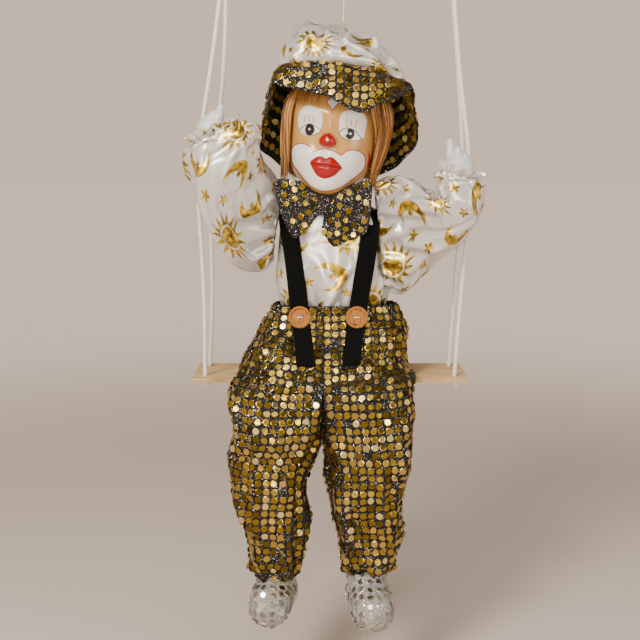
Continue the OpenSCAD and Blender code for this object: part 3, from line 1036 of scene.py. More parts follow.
def trouser_half(side, stations, phase):
    rows, columns = 116, 132
    shares = np.linspace(0, 1, rows)
    table = curve_through(stations, shares)
    grid = np.empty((rows, columns, 3))
    for i, (fy, fz, by, bz, inner_x, outer_x) in enumerate(table):
        morph = smooth_step(shares[i], 0.28, 0.56)
        grid[i] = leg_loop(np.array([fy, fz]), np.array([by, bz]), inner_x, outer_x, morph, columns)
    outward = outward_normals(grid)
    u = np.arange(columns)[None, :] / columns
    v = shares[:, None]
    folds = waves(
        (0.9, 5, 1.1, phase), (0.7, 8, -0.8, 2.0 + phase), (0.55, 13, 0.6, 4.0),
        (0.5, 3, 3.1, phase * 2))(u, v)
    sag = waves((1.1, 1, 4.2, phase + 1), (0.8, 2, -6.5, phase), (0.5, 3, 9.0, 2.2))(u, v)
    folds = folds + creases(u, v, 190, 210, 26, 24, 4.5, 2.4, 0.6)
    gathers = np.cos(TAU * 17 * u + 2.5 * np.sin(TAU * 3 * u + phase))
    waist = 1.0 * np.exp(-((v - 0.03) / 0.05) ** 2) * gathers
    hem = 1.3 * np.exp(-((v - 0.93) / 0.05) ** 2) * gathers
    free = smooth_step(v, 0.02, 0.12) * (1 - smooth_step(v, 0.9, 1.0))
    at_seam = np.abs(grid[..., 0] - SEAM_X)
    near_seam = smooth_step(at_seam, 0.4, 9)
    below = smooth_step(v, 0.5, 0.58)
    share = np.maximum(near_seam, below)
    crease = -2.2 * np.exp(-(at_seam / 3.0) ** 2) * (1 - below) * (v > 0.05)
    grid = grid + outward * ((folds + sag) * free * share + waist + hem)[..., None]
    grid[..., 1] -= crease * (outward[..., 1] < -0.3)
    if side == "right":
        own_side = np.minimum(grid[..., 0], SEAM_X + SEAM_OVERLAP)
    else:
        own_side = np.maximum(grid[..., 0], SEAM_X - SEAM_OVERLAP)
    grid[..., 0] = np.where(below > 0.5, grid[..., 0], own_side)
    return off_board(grid)


def on_seen_side(places):
    """Places that no other cloth covers: not on the flat inner side, nor between seat and board."""
    hidden_seam = (np.abs(places[:, 0] - SEAM_X) < 1.1) & (places[:, 2] > -30)
    under = (places[:, 1] > BOARD_FRONT_Y - 1) & (places[:, 2] < 1.5) & (places[:, 2] > -6)
    return ~(hidden_seam | under)


TROUSERS = {}


def trousers(side, stations, phase):
    grid = trouser_half(side, stations, phase)
    TROUSERS[side] = grid
    rows, columns, _ = grid.shape
    cloth = add_mesh(f"trouser_half_{side}", grid, grid_faces(rows, columns), GLITTER)
    nodes = [f"trouser_leg_{side}", f"leg_stuffing_{side}"] + (["trouser_seat"] if side == "left" else [])
    finished(cloth, None, "sequin_cloth", *nodes)
    flip = not points_outward(grid)
    discs = sequins_on(f"trouser_sequins_{side}", grid, 1, flip=flip, keep=on_seen_side)
    for piece in (cloth, discs):
        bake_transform(piece)


trousers("right", RIGHT_LEG, 0.7)
trousers("left", LEFT_LEG, 2.9)


# ---- Shirt

def printed_uv(grid, start_column, shift):
    """UVs in mm on a closed grid: along each row from one column both ways, and down that column."""
    columns = grid.shape[1]
    around = girths(grid)
    turn = (np.arange(columns) - start_column + columns / 2) % columns / columns - 0.5
    v = lengths_along(grid.mean(axis=1))
    u = turn[None, :] * around[:, None]
    return np.stack([u + shift[0], np.broadcast_to(v[:, None] + shift[1], u.shape)], axis=-1).reshape(-1, 2)


# Height, half width and half depth, from under the waistband to the collar.
SHIRT = [
    (40, 33, 19), (48, 34.5, 20.8), (58, 36, 22), (74, 35.5, 22), (90, 34.5, 21),
    (104, 34, 19.5), (114, 30, 17.5), (120, 22, 15.5), (124, 16, 14), (127, 14, 13)]


def shirt():
    rows, columns = 84, 150
    table = curve_through(SHIRT, np.linspace(0, 1, rows))
    angle = round_angles(columns)
    grid = np.empty((rows, columns, 3))
    middle = 0.5 - 4.5 * smooth_step(table[:, :1], 100, 125)
    grid[..., 0] = middle + table[:, 1:2] * powered(np.sin(angle), 0.9)
    grid[..., 1] = -2 - table[:, 2:3] * powered(np.cos(angle), 0.85)
    grid[..., 2] = table[:, :1]
    uv = printed_uv(grid, 0, (38, 2))
    outward = outward_normals(grid)
    u = angle[None, :] / TAU
    v = np.linspace(0, 1, rows)[:, None]
    folds = waves((0.7, 7, 0.7, 1.0), (0.5, 11, -0.5, 2.0))(u, v)
    folds = folds + creases(u, v, 190, 90, 46, 22, 2.6, 2.1, 0.35)
    folds = folds * smooth_step(v, 0.0, 0.12) * (1 - smooth_step(v, 0.75, 1.0))
    grid = grid + outward * folds[..., None]
    obj, points, faces = wrinkled(
        "satin_shirt", grid, uv, pinned=(3, 3), grow=0.12, pressure=0.15, frames=16, most=4.0)
    finished(obj, "swing", "satin_print", "shirt_body", "torso_stuffing")
    return points, faces


SHIRT_SURFACE = shirt()


# ---- Sleeves

# Inner point (x, z), outer point (x, z), middle y and half depth, from the shoulder to the cuff.
RIGHT_SLEEVE = [
    (-33, 132, -41, 86, -7, 13), (-38, 138, -50, 80, -11, 17), (-42, 145, -64, 86, -17, 20),
    (-45, 153, -76, 101, -24, 21),
    (-46, 160, -85, 120, -30, 20), (-47.5, 167, -89.5, 138, -35, 18), (-53, 171.5, -92, 152, -37.5, 15),
    (-56.5, 173, -92, 157, -38, 13), (-60, 173, -91.5, 160, -38, 11), (-62.5, 173.3, -90, 162.8, -38, 9.5)]
LEFT_SLEEVE = [
    (31, 136, 38, 62, -7, 13), (40, 140, 52, 63, -11, 17), (50, 137, 64, 78, -17, 20),
    (59, 132.5, 77, 88, -24, 20),
    (66, 127.5, 89, 102, -30, 18), (69, 131, 97.5, 117, -35, 15), (71.5, 138, 100.5, 129, -37.5, 13),
    (71, 140.5, 101, 131.5, -38, 11.5), (72, 142.5, 99.5, 134.5, -38, 10), (73.5, 144, 97.5, 137, -38, 9)]


def sleeve(side, stations, shift):
    rows, columns = 104, 120
    table = curve_through(stations, np.linspace(0, 1, rows))
    angle = round_angles(columns)
    inner = np.stack([table[:, 0], table[:, 4], table[:, 1]], axis=1)
    outer = np.stack([table[:, 2], table[:, 4], table[:, 3]], axis=1)
    middle, half = (inner + outer) / 2, (outer - inner) / 2
    grid = middle[:, None] + half[:, None] * powered(np.cos(angle), 0.92)[None, :, None]
    grid[..., 1] += table[:, 5:6] * -powered(np.sin(angle), 0.92)[None, :]
    uv = printed_uv(grid, columns // 4, shift)
    outward = outward_normals(grid)
    u = angle[None, :] / TAU
    v = np.linspace(0, 1, rows)[:, None]
    gathers = np.cos(TAU * 15 * u + 1.7 * np.sin(TAU * 2 * u + shift[0]))
    length = float(lengths_along(grid.mean(axis=1))[-1])
    folds = waves((0.8, 2, 1.6, shift[0]), (0.6, 4, -1.2, 1.0))(u, v)
    folds = folds + creases(u, v, 135, length, 34, 15, 2.6, 2.4)
    folds = folds + creases(u, v, 135, length, 20, 9, 1.8, 1.4)
    folds = folds * smooth_step(v, 0, 0.12) * (1 - smooth_step(v, 0.86, 1.0))
    gathered = gathers * (1.3 * np.exp(-((v - 0.96) / 0.09) ** 2) + 0.8 * np.exp(-((v - 0.05) / 0.08) ** 2))
    grid = grid + outward * (folds + gathered)[..., None]
    obj, _, _ = wrinkled(
        f"satin_sleeve_{side}", grid, uv, pinned=(2, 3), grow=0.16, pressure=0.2, frames=20, most=6.0)
    finished(obj, None, "satin_print", f"sleeve_{side}", f"arm_stuffing_{side}")
    along = float(lengths_along(grid.mean(axis=1))[-1])
    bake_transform(obj)
    cuff(side, middle[-1], half[-1], table[-1, 5], shift)


def cuff(side, middle, half, depth, shift):
    """The frill past the cuff's elastic: pulled in, then flared in tight waves."""
    rows, columns = 12, 180
    angle = round_angles(columns)
    up = unit(np.cross(half, (0, 1, 0)))
    up = up if up[2] > 0 else -up
    grid = np.empty((rows, columns, 3))
    for i, share in enumerate(np.linspace(0, 1, rows)):
        flare = 1 - 0.10 * math.sin(math.pi * min(1, share * 2)) + 0.22 * share ** 1.3
        wave = 1 + (0.03 + 0.13 * share) * np.cos(14 * angle + 2 * np.sin(2 * angle + shift[0]))
        wave = wave + 0.06 * share * np.cos(4 * angle + 1)
        size = (flare * wave)[:, None]
        ring = np.cos(angle)[:, None] * half - np.sin(angle)[:, None] * np.array([0, depth, 0])
        lift = 7.2 * share + 1.3 * share * np.sin(9 * angle + shift[1])
        grid[i] = middle + size * ring + up * lift[:, None]
    uv = printed_uv(grid, columns // 4, (shift[0] + 20, shift[1] + 30))
    frill = add_mesh(f"cuff_frill_{side}", grid, grid_faces(rows, columns), SATIN, uv=uv)
    finished(frill, f"arm_{side}", "satin_print")


sleeve("right", RIGHT_SLEEVE, (14.0, 30.0))
sleeve("left", LEFT_SLEEVE, (30.0, 8.0))


# ---- Hat

def hat_crown():
    """A puffed and gathered satin dome, higher over the puppet's right."""
    rows, columns = 84, 150
    share = np.linspace(0, 1, rows)[:, None]
    angle = round_angles(columns)[None, :]
    profile = curve_through(
        [(40.5, -3), (45, 2), (44, 9), (38.5, 17), (29.5, 24.5), (16, 30.5), (0, 32.5)], share.ravel())
    radius, height = profile[:, :1], profile[:, 1:]
    u = angle / TAU
    gathers = np.cos(16 * angle + 2.2 * np.sin(3 * angle + 1.0)) * np.exp(-share / 0.28) * 1.8
    puffs = waves((2.2, 3, 0.9, 0.4), (1.4, 5, -1.3, 2.0), (0.9, 8, 1.1, 1.0))(u, share)
    puffs = puffs * np.sin(math.pi * np.clip(share, 0, 1))
    folds = creases(u, share, 230, 62, 70, 14, 2.5, 3.0, 0.7)
    folds = folds * smooth_step(share, 0, 0.12) * (1 - smooth_step(share, 0.8, 1))
    radius = radius + (gathers + puffs + 0.6 * folds) * smooth_step(share, 0, 0.1)
    lift = (puffs * 0.6 + folds) * smooth_step(share, 0.2, 0.7)
    x, y = radius * np.sin(angle), -radius * np.cos(angle) * 0.95 + 1
    z = height + lift - 0.2 * x * (height / 33)
    z = z + 3.2 * np.exp(-((x / 8) ** 2 + ((y + 8.7) / 8) ** 2))
    grid = np.stack([x - 4 * (height / 33) ** 2, y, z], axis=-1)
    grid[-1] = grid[-1].mean(axis=0)
    from_top = 63 * (1 - share)
    flat = np.stack([from_top * np.sin(angle), -from_top * np.cos(angle)], axis=-1)
    uv = (flat + [28, 53]).reshape(-1, 2)
    obj, _, _ = wrinkled(
        "satin_crown", from_hat(grid), uv, pinned=(3, 4), grow=0.14, pressure=0.2, frames=18, most=5.0)
    finished(obj, "head", "satin_print", "hat_crown")


# Angle from the front towards the puppet's left, radius and height of the brim's edge.
BRIM_EDGE = [
    (0, 48.5, -26), (16, 49.5, -32), (27, 51, -33), (38, 53, -26), (50, 54, -20), (60, 56, -15),
    (70, 56.5, -9),
    (80, 55, -21), (93, 58, -30), (107, 60, -41), (122, 59, -49), (140, 57, -55), (158, 56, -57),
    (176, 53, -60),
    (194, 52, -62), (210, 48, -63), (226, 47, -61), (242, 45.5, -56), (257, 48, -52), (269, 47.5, -46),
    (286, 44, -32), (299, 48, -17), (312, 48, -18), (328, 47, -21), (345, 47.5, -23)]


def hat_brim():
    """A limp brim of doubled sequin cloth that droops round the head in waves."""
    rows, columns = 30, 260
    around = np.linspace(0, 1, columns, endpoint=False)
    closing = BRIM_EDGE + [(360, *BRIM_EDGE[0][1:])]
    edge = curve_through(closing, around)
    angle, radius, height = np.radians(edge[:, 0]), edge[:, 1], edge[:, 2]
    grid = np.empty((rows, columns, 3))
    for i, share in enumerate(np.linspace(0, 1, rows)):
        bulge = math.sin(math.pi * share)
        out = 40.8 + (radius - 40.8) * share ** 0.8 + 1.8 * bulge
        ripple = share * (0.9 * np.sin(9 * angle + 0.8) + 0.6 * np.sin(14 * angle + 2 * share))
        behind = smooth_step(-np.cos(angle), -0.3, 0.5)
        ripple = ripple + share * behind * 2.2 * np.sin(7 * angle + 1.2 + share)
        down = height * share ** 1.15 + 0.8 * bulge
        flatter = 0.97 - 0.1 * share * behind
        grid[i, :, 0] = (out + ripple) * np.sin(angle)
        grid[i, :, 1] = -(out + ripple) * np.cos(angle) * flatter - 9 * share * np.sin(angle) ** 2
        grid[i, :, 2] = down - 1
    outward = outward_normals(grid)
    half = 0.45
    top, under = grid + outward * half, grid - outward * half
    order = np.concatenate([top, under[::-1]])
    obj = add_mesh("brim_cloth", from_hat(order), ring_faces(len(order), columns), GLITTER)
    finished(obj, "head", "sequin_cloth", "hat_brim")
    flip = not points_outward(grid)
    upper = sequins_on("brim_sequins_outside", from_hat(top), 20, flip=flip)
    lower = sequins_on(
        "brim_sequins_inside", from_hat(under), 20, material=INNER_SEQUIN, flip=not flip, tilt=0.25,
        lean=0.35)
    for discs in (upper, lower):
        finished(discs, "head", "sequin_cloth")


hat_crown()
hat_brim()


# ---- Head

# Height, half width, front y and back y of the head's sections, from the chin to the crown.
HEAD_SECTIONS = [
    (11, 0, -17, -17), (11.3, 8, -25, -8), (14, 14.5, -30, -1), (19, 20, -32, 4), (26, 25.6, -33, 11),
    (34, 28.6, -33.2, 17), (43, 29.4, -33, 23), (53, 29.7, -33, 27), (63, 30, -33, 29.5),
    (72, 28.6, -31, 29),
    (81, 24.5, -26.5, 25), (88, 17.5, -19.5, 18), (92, 8.5, -11, 8), (93, 0, -2, -2)]
WIDEST_Y = -4
HEAD_X = 0.6
ROUNDNESS = 0.93


def head_loop(section, angle, grow=0.0):
    """A section's points at angles from the front towards the puppet's left."""
    height, half, front, back = section
    sin, cos = np.sin(angle), np.cos(angle)
    side, along = powered(sin, ROUNDNESS), powered(cos, ROUNDNESS)
    middle = min(max(WIDEST_Y, front), back) if back > front else front
    reach = np.where(cos > 0, middle - front, back - middle)
    x = HEAD_X + (half + grow) * side
    y = middle - (reach + grow) * along
    return np.stack([x, y, np.full_like(angle, height)], axis=-1)


def smooth_outline(points, count=160):
    """A closed smooth line through a few points in the face's XZ plane."""
    return curve_through(points, np.linspace(0, 1, count, endpoint=False), closed=True)


def open_line(points, count=40):
    return curve_through(points, np.linspace(0, 1, count))


def distance_to_line(x, z, line, closed=False):
    ends = np.roll(line, -1, axis=0) if closed else line[1:]
    starts = line if closed else line[:-1]
    best = np.full(x.shape, 1e9)
    for a, b in zip(starts, ends):
        way = b - a
        t = np.clip(((x - a[0]) * way[0] + (z - a[1]) * way[1]) / max(way @ way, 1e-9), 0, 1)
        best = np.minimum(best, (x - a[0] - t * way[0]) ** 2 + (z - a[1] - t * way[1]) ** 2)
    return np.sqrt(best)


def signed_distance(x, z, outline):
    """Distance to a closed outline, below 0 inside it."""
    inside = np.zeros(x.shape, bool)
    following = np.roll(outline, -1, axis=0)
    for a, b in zip(outline, following):
        crosses = (a[1] > z) != (b[1] > z)
        at = (b[0] - a[0]) * (z - a[1]) / (b[1] - a[1] + 1e-12) + a[0]
        inside ^= crosses & (x < at)
    return np.where(inside, -1, 1) * distance_to_line(x, z, outline, closed=True)


RIGHT_PATCH = smooth_outline([
    (-22, 58), (-22, 63.5), (-18.5, 68.6), (-12, 69.2), (-6.5, 66.5), (-5, 62), (-5.2, 56), (-8, 51.6),
    (-13.5, 49.4), (-19, 51)])
LEFT_PATCH = smooth_outline([
    (7, 54), (6.7, 64), (9.6, 68.2), (16, 68.8), (21.4, 67.5), (24, 64), (23.8, 57), (22.7, 51),
    (16, 49.6), (10.3, 50.8)])
WHITE_MOUTH = smooth_outline([
    (-24.6, 39.6), (-22.4, 42.4), (-17.3, 43.9), (-12.3, 42.7), (-8.7, 39.4), (-5.7, 41), (0.5, 42),
    (5.7, 41),
    (10.1, 39.1), (13.2, 42), (17.6, 43.2), (22.7, 42.2), (25.8, 38.6), (26.1, 32.9), (23.9, 28.5),
    (19.3, 24),
    (11.7, 17.4), (1.6, 13.7), (-7, 15.4), (-12.7, 19), (-18.7, 25.1), (-23.3, 29.2), (-24.8, 34.2)])
LIPS = smooth_outline([
    (-10.4, 31.8), (-7.8, 35), (-4.8, 36.8), (-2.1, 36.8), (0.1, 35.8), (2.5, 37.1), (5.1, 36.8),
    (8.9, 33.9),
    (11.8, 30.6), (9.9, 28.3), (7.1, 25.2), (2.1, 22.6), (-2, 22.7), (-5.3, 24.6), (-8.3, 28.4)])
LIP_LINE = open_line([(-9.5, 31.4), (-4, 30.9), (0.5, 31.4), (5, 31.1), (10.6, 30.8)])
NOSE = smooth_outline(
    [(-5.7, 46), (-4.6, 49.4), (-1.6, 52.4), (1.6, 52.4), (4.8, 49.4), (6, 46), (3.6, 43.8), (0.2, 43.2),
     (-3.4, 43.9)])
RIGHT_LID = open_line([(-20, 53.4), (-17.5, 55.6), (-13.8, 57.4), (-9.9, 56.4), (-5.3, 53.3)])
LEFT_LID = open_line([(7, 53.3), (9.2, 56.1), (12.6, 57.3), (17.3, 55.9), (22.6, 50.9)])
RIGHT_LOWER_LID = open_line([(-20, 53.4), (-17, 50.8), (-13.4, 49.7), (-9, 50.6), (-5.3, 53.3)])
LEFT_LOWER_LID = open_line([(7, 53.3), (10, 50.6), (14.2, 49.5), (18.6, 49.7), (22.6, 50.9)])
LASHES = [
    ((-17.3, 58.6), (-17.2, 62.6)), ((-14.2, 58.9), (-14.2, 63.4)), ((-11, 58.6), (-11.2, 62.4)),
    ((11.4, 58.6), (11.4, 63.7)), ((14.4, 59.2), (14.2, 62.8)), ((17.0, 57.9), (18.1, 63.5))]
TEAR = smooth_outline(
    [(27.2, 43.6), (28.6, 40.5), (29.4, 37.4), (28.8, 34), (27.4, 31.6), (27.5, 35), (27.7, 38.5)])
DIAMOND = np.array([(1.0, 67.9), (4.6, 73.1), (1.0, 79.0), (-3.6, 73.0)])

SKIN = srgb(0.80, 0.60, 0.33)
WHITE_PAINT = srgb(0.93, 0.92, 0.89)
RED_PAINT = srgb(0.64, 0.0, 0.01)
LINE_RED = srgb(0.62, 0.08, 0.04)
DARK_PAINT = srgb(0.03, 0.03, 0.025)
GOLD_PAINT = srgb(0.86, 0.68, 0.24)


def face_relief(x, z):
    """How far the face stands forward of the smooth head."""
    lift = 2.4 * (bell(x, z, -17, 37, 8.5, 7.5) + bell(x, z, 18, 36.5, 8.5, 7.5))
    lift += 2.4 * bell(x, z, 0.8, 30, 13, 9.5) + 2.0 * bell(x, z, 1, 17.5, 8, 5)
    lift += -2.0 * (bell(x, z, -13, 55, 7.5, 6.5) + bell(x, z, 14, 55, 7.5, 6.5))
    lift += 0.8 * (bell(x, z, -13, 53.5, 6, 4.5) + bell(x, z, 14.2, 53.5, 6, 4.5))
    lift += 0.9 * bell(x, z, 0, 67, 20, 4.5) + 1.7 * bell(x, z, 0.2, 57, 4, 8)
    lift += -0.5 * bell(x, z, 0.3, 40, 1.8, 2.4)
    for lid in (RIGHT_LID, LEFT_LID):
        lift += -0.35 * np.exp(-(distance_to_line(x, z, lid) / 0.5) ** 2)
    nose = np.clip(1 - ((x - 0.2) / 6.3) ** 2 - ((z - 47.7) / (4.9 + 0.4 * (z > 47.7))) ** 2, 0, 1)
    lift += 6.3 * nose ** 0.55 + 0.8 * bell(x, z, -5, 46, 2, 2.4) + 0.8 * bell(x, z, 5.4, 46, 2, 2.4)
    lips = -signed_distance(x, z, LIPS)
    inside = np.clip(lips, 0, None)
    line = distance_to_line(x, z, LIP_LINE)
    lift += 2.3 * (1 - np.exp(-inside / 1.8)) - 1.5 * np.exp(-(line / 0.75) ** 2) * (inside > 0)
    return lift


def over(colours, paint, share):
    return colours + share[:, None] * (np.array(paint) - colours)


def face_colours(x, z, in_front):
    """The painted face, worked out point by point from its outlines."""
    colours = np.tile(np.array(SKIN), (len(x), 1))
    soft = 0.22

    def fill(outline, paint):
        nonlocal colours
        colours = over(colours, paint, smooth_step(-signed_distance(x, z, outline), -soft, soft) * in_front)

    def stroke(line, width, paint, closed=False):
        nonlocal colours
        far = distance_to_line(x, z, line, closed)
        colours = over(colours, paint, smooth_step(width / 2 - far, -soft, soft) * in_front)

    def spot(at, half_x, half_z, paint):
        nonlocal colours
        far = (1 - np.sqrt(((x - at[0]) / half_x) ** 2 + ((z - at[1]) / half_z) ** 2)) * min(half_x, half_z)
        colours = over(colours, paint, smooth_step(far, -soft, soft) * in_front)

    # painted shade: the sides of the face by the cheeks are darkened towards orange-brown
    painted_cheek_shade = 0.35 * (bell(x, z, -24, 44, 7, 6) + bell(x, z, 25, 45, 7, 6)) * in_front
    colours = over(colours, srgb(0.76, 0.46, 0.20), painted_cheek_shade)
    fill(WHITE_MOUTH, WHITE_PAINT)
    stroke(WHITE_MOUTH, 0.7, LINE_RED, closed=True)
    fill(RIGHT_PATCH, WHITE_PAINT)
    fill(LEFT_PATCH, WHITE_PAINT)
    fill(LIPS, RED_PAINT)
    stroke(LIP_LINE, 0.35, srgb(0.45, 0.03, 0.03))
    fill(NOSE, RED_PAINT)
    # painted highlight: a pale pink dot on the glossy red nose
    spot((0.2, 48.2), 0.9, 0.9, srgb(1.0, 0.80, 0.72))
    for lid in (RIGHT_LID, LEFT_LID):
        stroke(lid, 0.6, DARK_PAINT)
    for lid in (RIGHT_LOWER_LID, LEFT_LOWER_LID):
        stroke(lid, 0.42, srgb(0.16, 0.13, 0.10))
    spot((-13.1, 53.6), 3.4, 3.9, DARK_PAINT)
    spot((-13.2, 53.7), 2.5, 3.0, srgb(0.05, 0.055, 0.04))
    spot((-13.1, 53.6), 1.7, 2.1, DARK_PAINT)
    # painted highlight: a white dot on the pupil
    spot((-13.4, 54.0), 0.75, 0.75, WHITE_PAINT)
    spot((14.2, 53.6), 3.1, 3.6, DARK_PAINT)
    spot((14.2, 53.5), 2.4, 2.8, srgb(0.05, 0.055, 0.04))
    spot((14.3, 53.5), 1.6, 1.9, DARK_PAINT)
    # painted highlights: a white dot and a white crescent on the pupil
    spot((14.4, 53.8), 0.75, 0.75, WHITE_PAINT)
    spot((11.9, 54.2), 0.7, 1.4, WHITE_PAINT)
    for low, high in LASHES:
        stroke(np.array([low, high]), 0.95, GOLD_PAINT)
    fill(TEAR, RED_PAINT)
    fill(DIAMOND, WHITE_PAINT)
    stroke(DIAMOND, 0.6, LINE_RED, closed=True)
    return colours


def head():
    dense = np.radians(np.linspace(-72, 72, 236, endpoint=False))
    sparse = np.radians(np.linspace(72, 288, 52, endpoint=False))
    angle = np.concatenate([dense, sparse])
    table = curve_through(HEAD_SECTIONS, np.linspace(0, 1, 900))
    profile = np.stack([np.zeros(900), table[:, 2], table[:, 0]], axis=1)
    along = lengths_along(profile)
    steps = np.concatenate([np.arange(0.0, 88, 0.38), np.arange(88, along[-1], 1.6), [along[-1]]])
    sections = np.stack([np.interp(steps, along, table[:, k]) for k in range(4)], axis=1)
    sections[0, 1] = 0.02
    sections[-1, 1] = 0.02
    grid = np.stack([head_loop(section, angle) for section in sections])
    x, z = grid[..., 0].ravel(), grid[..., 2].ravel()
    front = smooth_step(-grid[..., 1].ravel(), 3, 12)
    grid[..., 1] -= (face_relief(x, z) * front).reshape(grid.shape[:2])
    colours = face_colours(x, z, (front > 0.02).astype(float))
    obj = add_mesh(
        "painted_head", from_head(grid.reshape(-1, 3)), grid_faces(*grid.shape[:2]), FACE_PAINT,
        colours=colours)
    finished(obj, "head", "face_paint", "head_shell")


head()


# ---- Hair: a cap with combed grooves, and strands over it

def section_at(height):
    table = curve_through(HEAD_SECTIONS, np.linspace(0, 1, 400))
    return np.array([np.interp(height, table[:, 0], table[:, k]) for k in range(4)])


def hair_cap():
    rows, columns = 24, 420
    angle = np.radians(np.linspace(68, 298, columns))
    grid = np.empty((rows, columns, 3))
    for i, height in enumerate(np.linspace(30, 91, rows)):
        groove = 0.5 * np.sin(70 * angle + 0.6 * np.sin(height / 6))
        groove = groove + 0.35 * np.sin(131 * angle + height / 9)
        flare = 1.2 * smooth_step(45 - height, 0, 20)
        back = 0.24 * smooth_step(70 - height, 0, 24) * np.exp(-((angle - 0.98) / 0.5) ** 2)
        loop = head_loop(section_at(max(height, 30)), angle + back, 2.0 + flare)
        outward = unit(loop - [HEAD_X, WIDEST_Y, 0])
        outward[:, 2] = 0
        grid[i] = loop + outward * groove[:, None]
        grid[i, :, 2] = height
    back = grid[::-1] - unit(grid[::-1] - np.array([HEAD_X, WIDEST_Y, 55])) * 1.2
    order = np.concatenate([grid, back])
    return order, grid_faces(len(order), columns, closed=False)


def hair_strand(angle, top, bottom, layer, drift, curl, width):
    """A tapered lock that follows the head down, then hangs free."""
    rings = 10
    heights = np.linspace(top, bottom, rings)
    share = np.linspace(0, 1, rings)
    centre = np.empty((rings, 3))
    for i, height in enumerate(heights):
        back = 0.24 * smooth_step(70 - height, 0, 24) * math.exp(-((angle - 0.98) / 0.5) ** 2)
        turn = angle + back + drift * share[i] ** 1.5 + curl * math.sin(4 * share[i] + 9 * layer)
        fullness = 3.4 + 5.5 * max(0, math.sin(angle))
        swell = math.sin(math.pi * min(1, 0.25 + share[i] * 0.75))
        grow = 2.4 + layer * fullness * swell + 2.2 * share[i] ** 2 * layer
        centre[i] = head_loop(section_at(max(height, 33)), np.array([turn]), grow)[0]
        centre[i, 2] = height
    size = width * (1 - 0.85 * share ** 3)
    return tube_points(centre, size, 4), tube_faces(rings, 4)


def wig():
    parts = [hair_cap()]
    for _ in range(1500):
        on_left = rng.random() < 0.5
        angle = math.radians(rng.uniform(64, 180) if on_left else rng.uniform(-180, -57))
        layer = rng.random() ** 0.8
        bottom = rng.uniform(15, 36) + 4 * (1 - layer)
        parts.append(hair_strand(
            angle, rng.uniform(84, 91), bottom, layer, rng.normal(0, 0.06), rng.normal(0, 0.03),
            rng.uniform(0.26, 0.56)))
    for _ in range(70):
        angle = math.radians(rng.uniform(-58, -6))
        parts.append(hair_strand(
            angle, 90, rng.uniform(66, 79), rng.random() * 0.5, rng.normal(0, 0.05), 0.01,
            rng.uniform(0.15, 0.32)))
    for _ in range(70):
        angle = math.radians(rng.uniform(44, 66))
        parts.append(hair_strand(
            angle, 90, rng.uniform(48, 76), rng.random() * 0.6, rng.uniform(0.1, 0.25), 0.01,
            rng.uniform(0.25, 0.5)))
    points, faces = joined(parts)
    obj = add_mesh("combed_wig", from_head(points), faces, HAIR)
    finished(obj, "head", "wig_hair", "wig")


wig()


# ---- Hands and shoes: rounded forms melted together

def ball_mesh(at, radii, segments=20):
    rings = segments // 2 + 1
    up = np.linspace(0, math.pi, rings)[:, None]
    turn = round_angles(segments)[None, :]
    ball = [np.sin(up) * np.cos(turn), np.sin(up) * np.sin(turn), np.cos(up) * np.ones_like(turn)]
    grid = np.stack(ball, axis=-1) * np.asarray(radii, float) + np.asarray(at, float)
    return grid, grid_faces(rings, segments)[:, ::-1]


def finger_mesh(line, radii, segments=16):
    """A finger along a few points: a chain of balls close together."""
    path = curve_through(np.asarray(line, float), np.linspace(0, 1, 26))
    sizes = np.interp(np.linspace(0, 1, 26), np.linspace(0, 1, len(radii)), radii)
    return [ball_mesh(p, (s, s, s), segments) for p, s in zip(path, sizes)]


def melted(name, parts, material, voxel, smoothing):
    """One smooth closed surface round several overlapping forms."""
    points, faces = joined(parts)
    rough = add_mesh(name + "_rough", points, faces, material)
    remesh = rough.modifiers.new("melt", "REMESH")
    remesh.mode = "VOXEL"
    remesh.voxel_size = voxel * MM
    smooth = rough.modifiers.new("smooth", "SMOOTH")
    smooth.factor = 0.6
    smooth.iterations = smoothing
    result = rough.evaluated_get(bpy.context.evaluated_depsgraph_get())
    count = len(result.data.vertices)
    flat = np.empty(count * 3)
    result.data.vertices.foreach_get("co", flat)
    points = (flat.reshape(-1, 3) - SEAT) / MM
    faces = [list(p.vertices) for p in result.data.polygons]
    bpy.data.objects.remove(rough)
    return points, faces


def hand(side, wrist, palm, palm_size, fingers):
    parts = [ball_mesh(np.array(wrist) + [0, 0.5, 1], (6.2, 5.6, 7)), ball_mesh(palm, palm_size)]
    middle = (np.array(wrist) + palm) / 2
    parts.append(ball_mesh(middle, (7, 6.2, 7)))
    for line, radii in fingers:
        parts += finger_mesh(line, radii)
    points, faces = melted(f"hand_{side}", parts, PORCELAIN, 0.7, 4)
    obj = add_mesh(f"glazed_hand_{side}", points, faces, PORCELAIN)
    finished(obj, "swing", "hand_porcelain", f"hand_{side}")


hand("left", (86.5, -37.5, 141), (86.5, -36, 147), (9.8, 6.2, 8), [
    ([(81.5, -36, 149), (80.6, -36, 157), (80.2, -34.5, 165)], (4.4, 3.6, 2.3)),
    ([(85.5, -36, 149), (85.6, -35.5, 155), (85.2, -34, 159)], (4.2, 3.7, 2.9)),
    ([(89.5, -35.5, 148), (89.8, -35, 153), (89.6, -33.5, 156)], (4.0, 3.6, 2.8)),
    ([(92.6, -35, 146), (93, -34.5, 150), (92.8, -33, 152.5)], (3.7, 3.3, 2.6)),
    ([(89, -33, 147), (88, -23, 149), (92.5, -19, 151), (96, -19.2, 152)], (3.4, 2.8, 2.6, 2.1))])
hand("right", (-78.5, -38, 169), (-79.5, -36.5, 173), (9.8, 6.2, 8), [
    ([(-76, -36.5, 176), (-74.4, -36, 182), (-73.2, -34.5, 187.6)], (4.4, 3.6, 2.3)),
    ([(-79.6, -36, 176), (-79, -35.5, 180), (-78.2, -34, 183)], (4.2, 3.7, 2.9)),
    ([(-83.2, -35.5, 174.5), (-83.2, -35, 178), (-82.6, -33.5, 180.2)], (4.0, 3.5, 2.8)),
    ([(-86.3, -35, 172), (-86.7, -34.5, 175), (-86.4, -33, 177)], (3.6, 3.2, 2.5)),
    ([(-82, -33, 172), (-81.3, -23, 173), (-85.5, -19.6, 174), (-89.5, -20, 174.5)], (3.4, 2.8, 2.6, 2.1))])


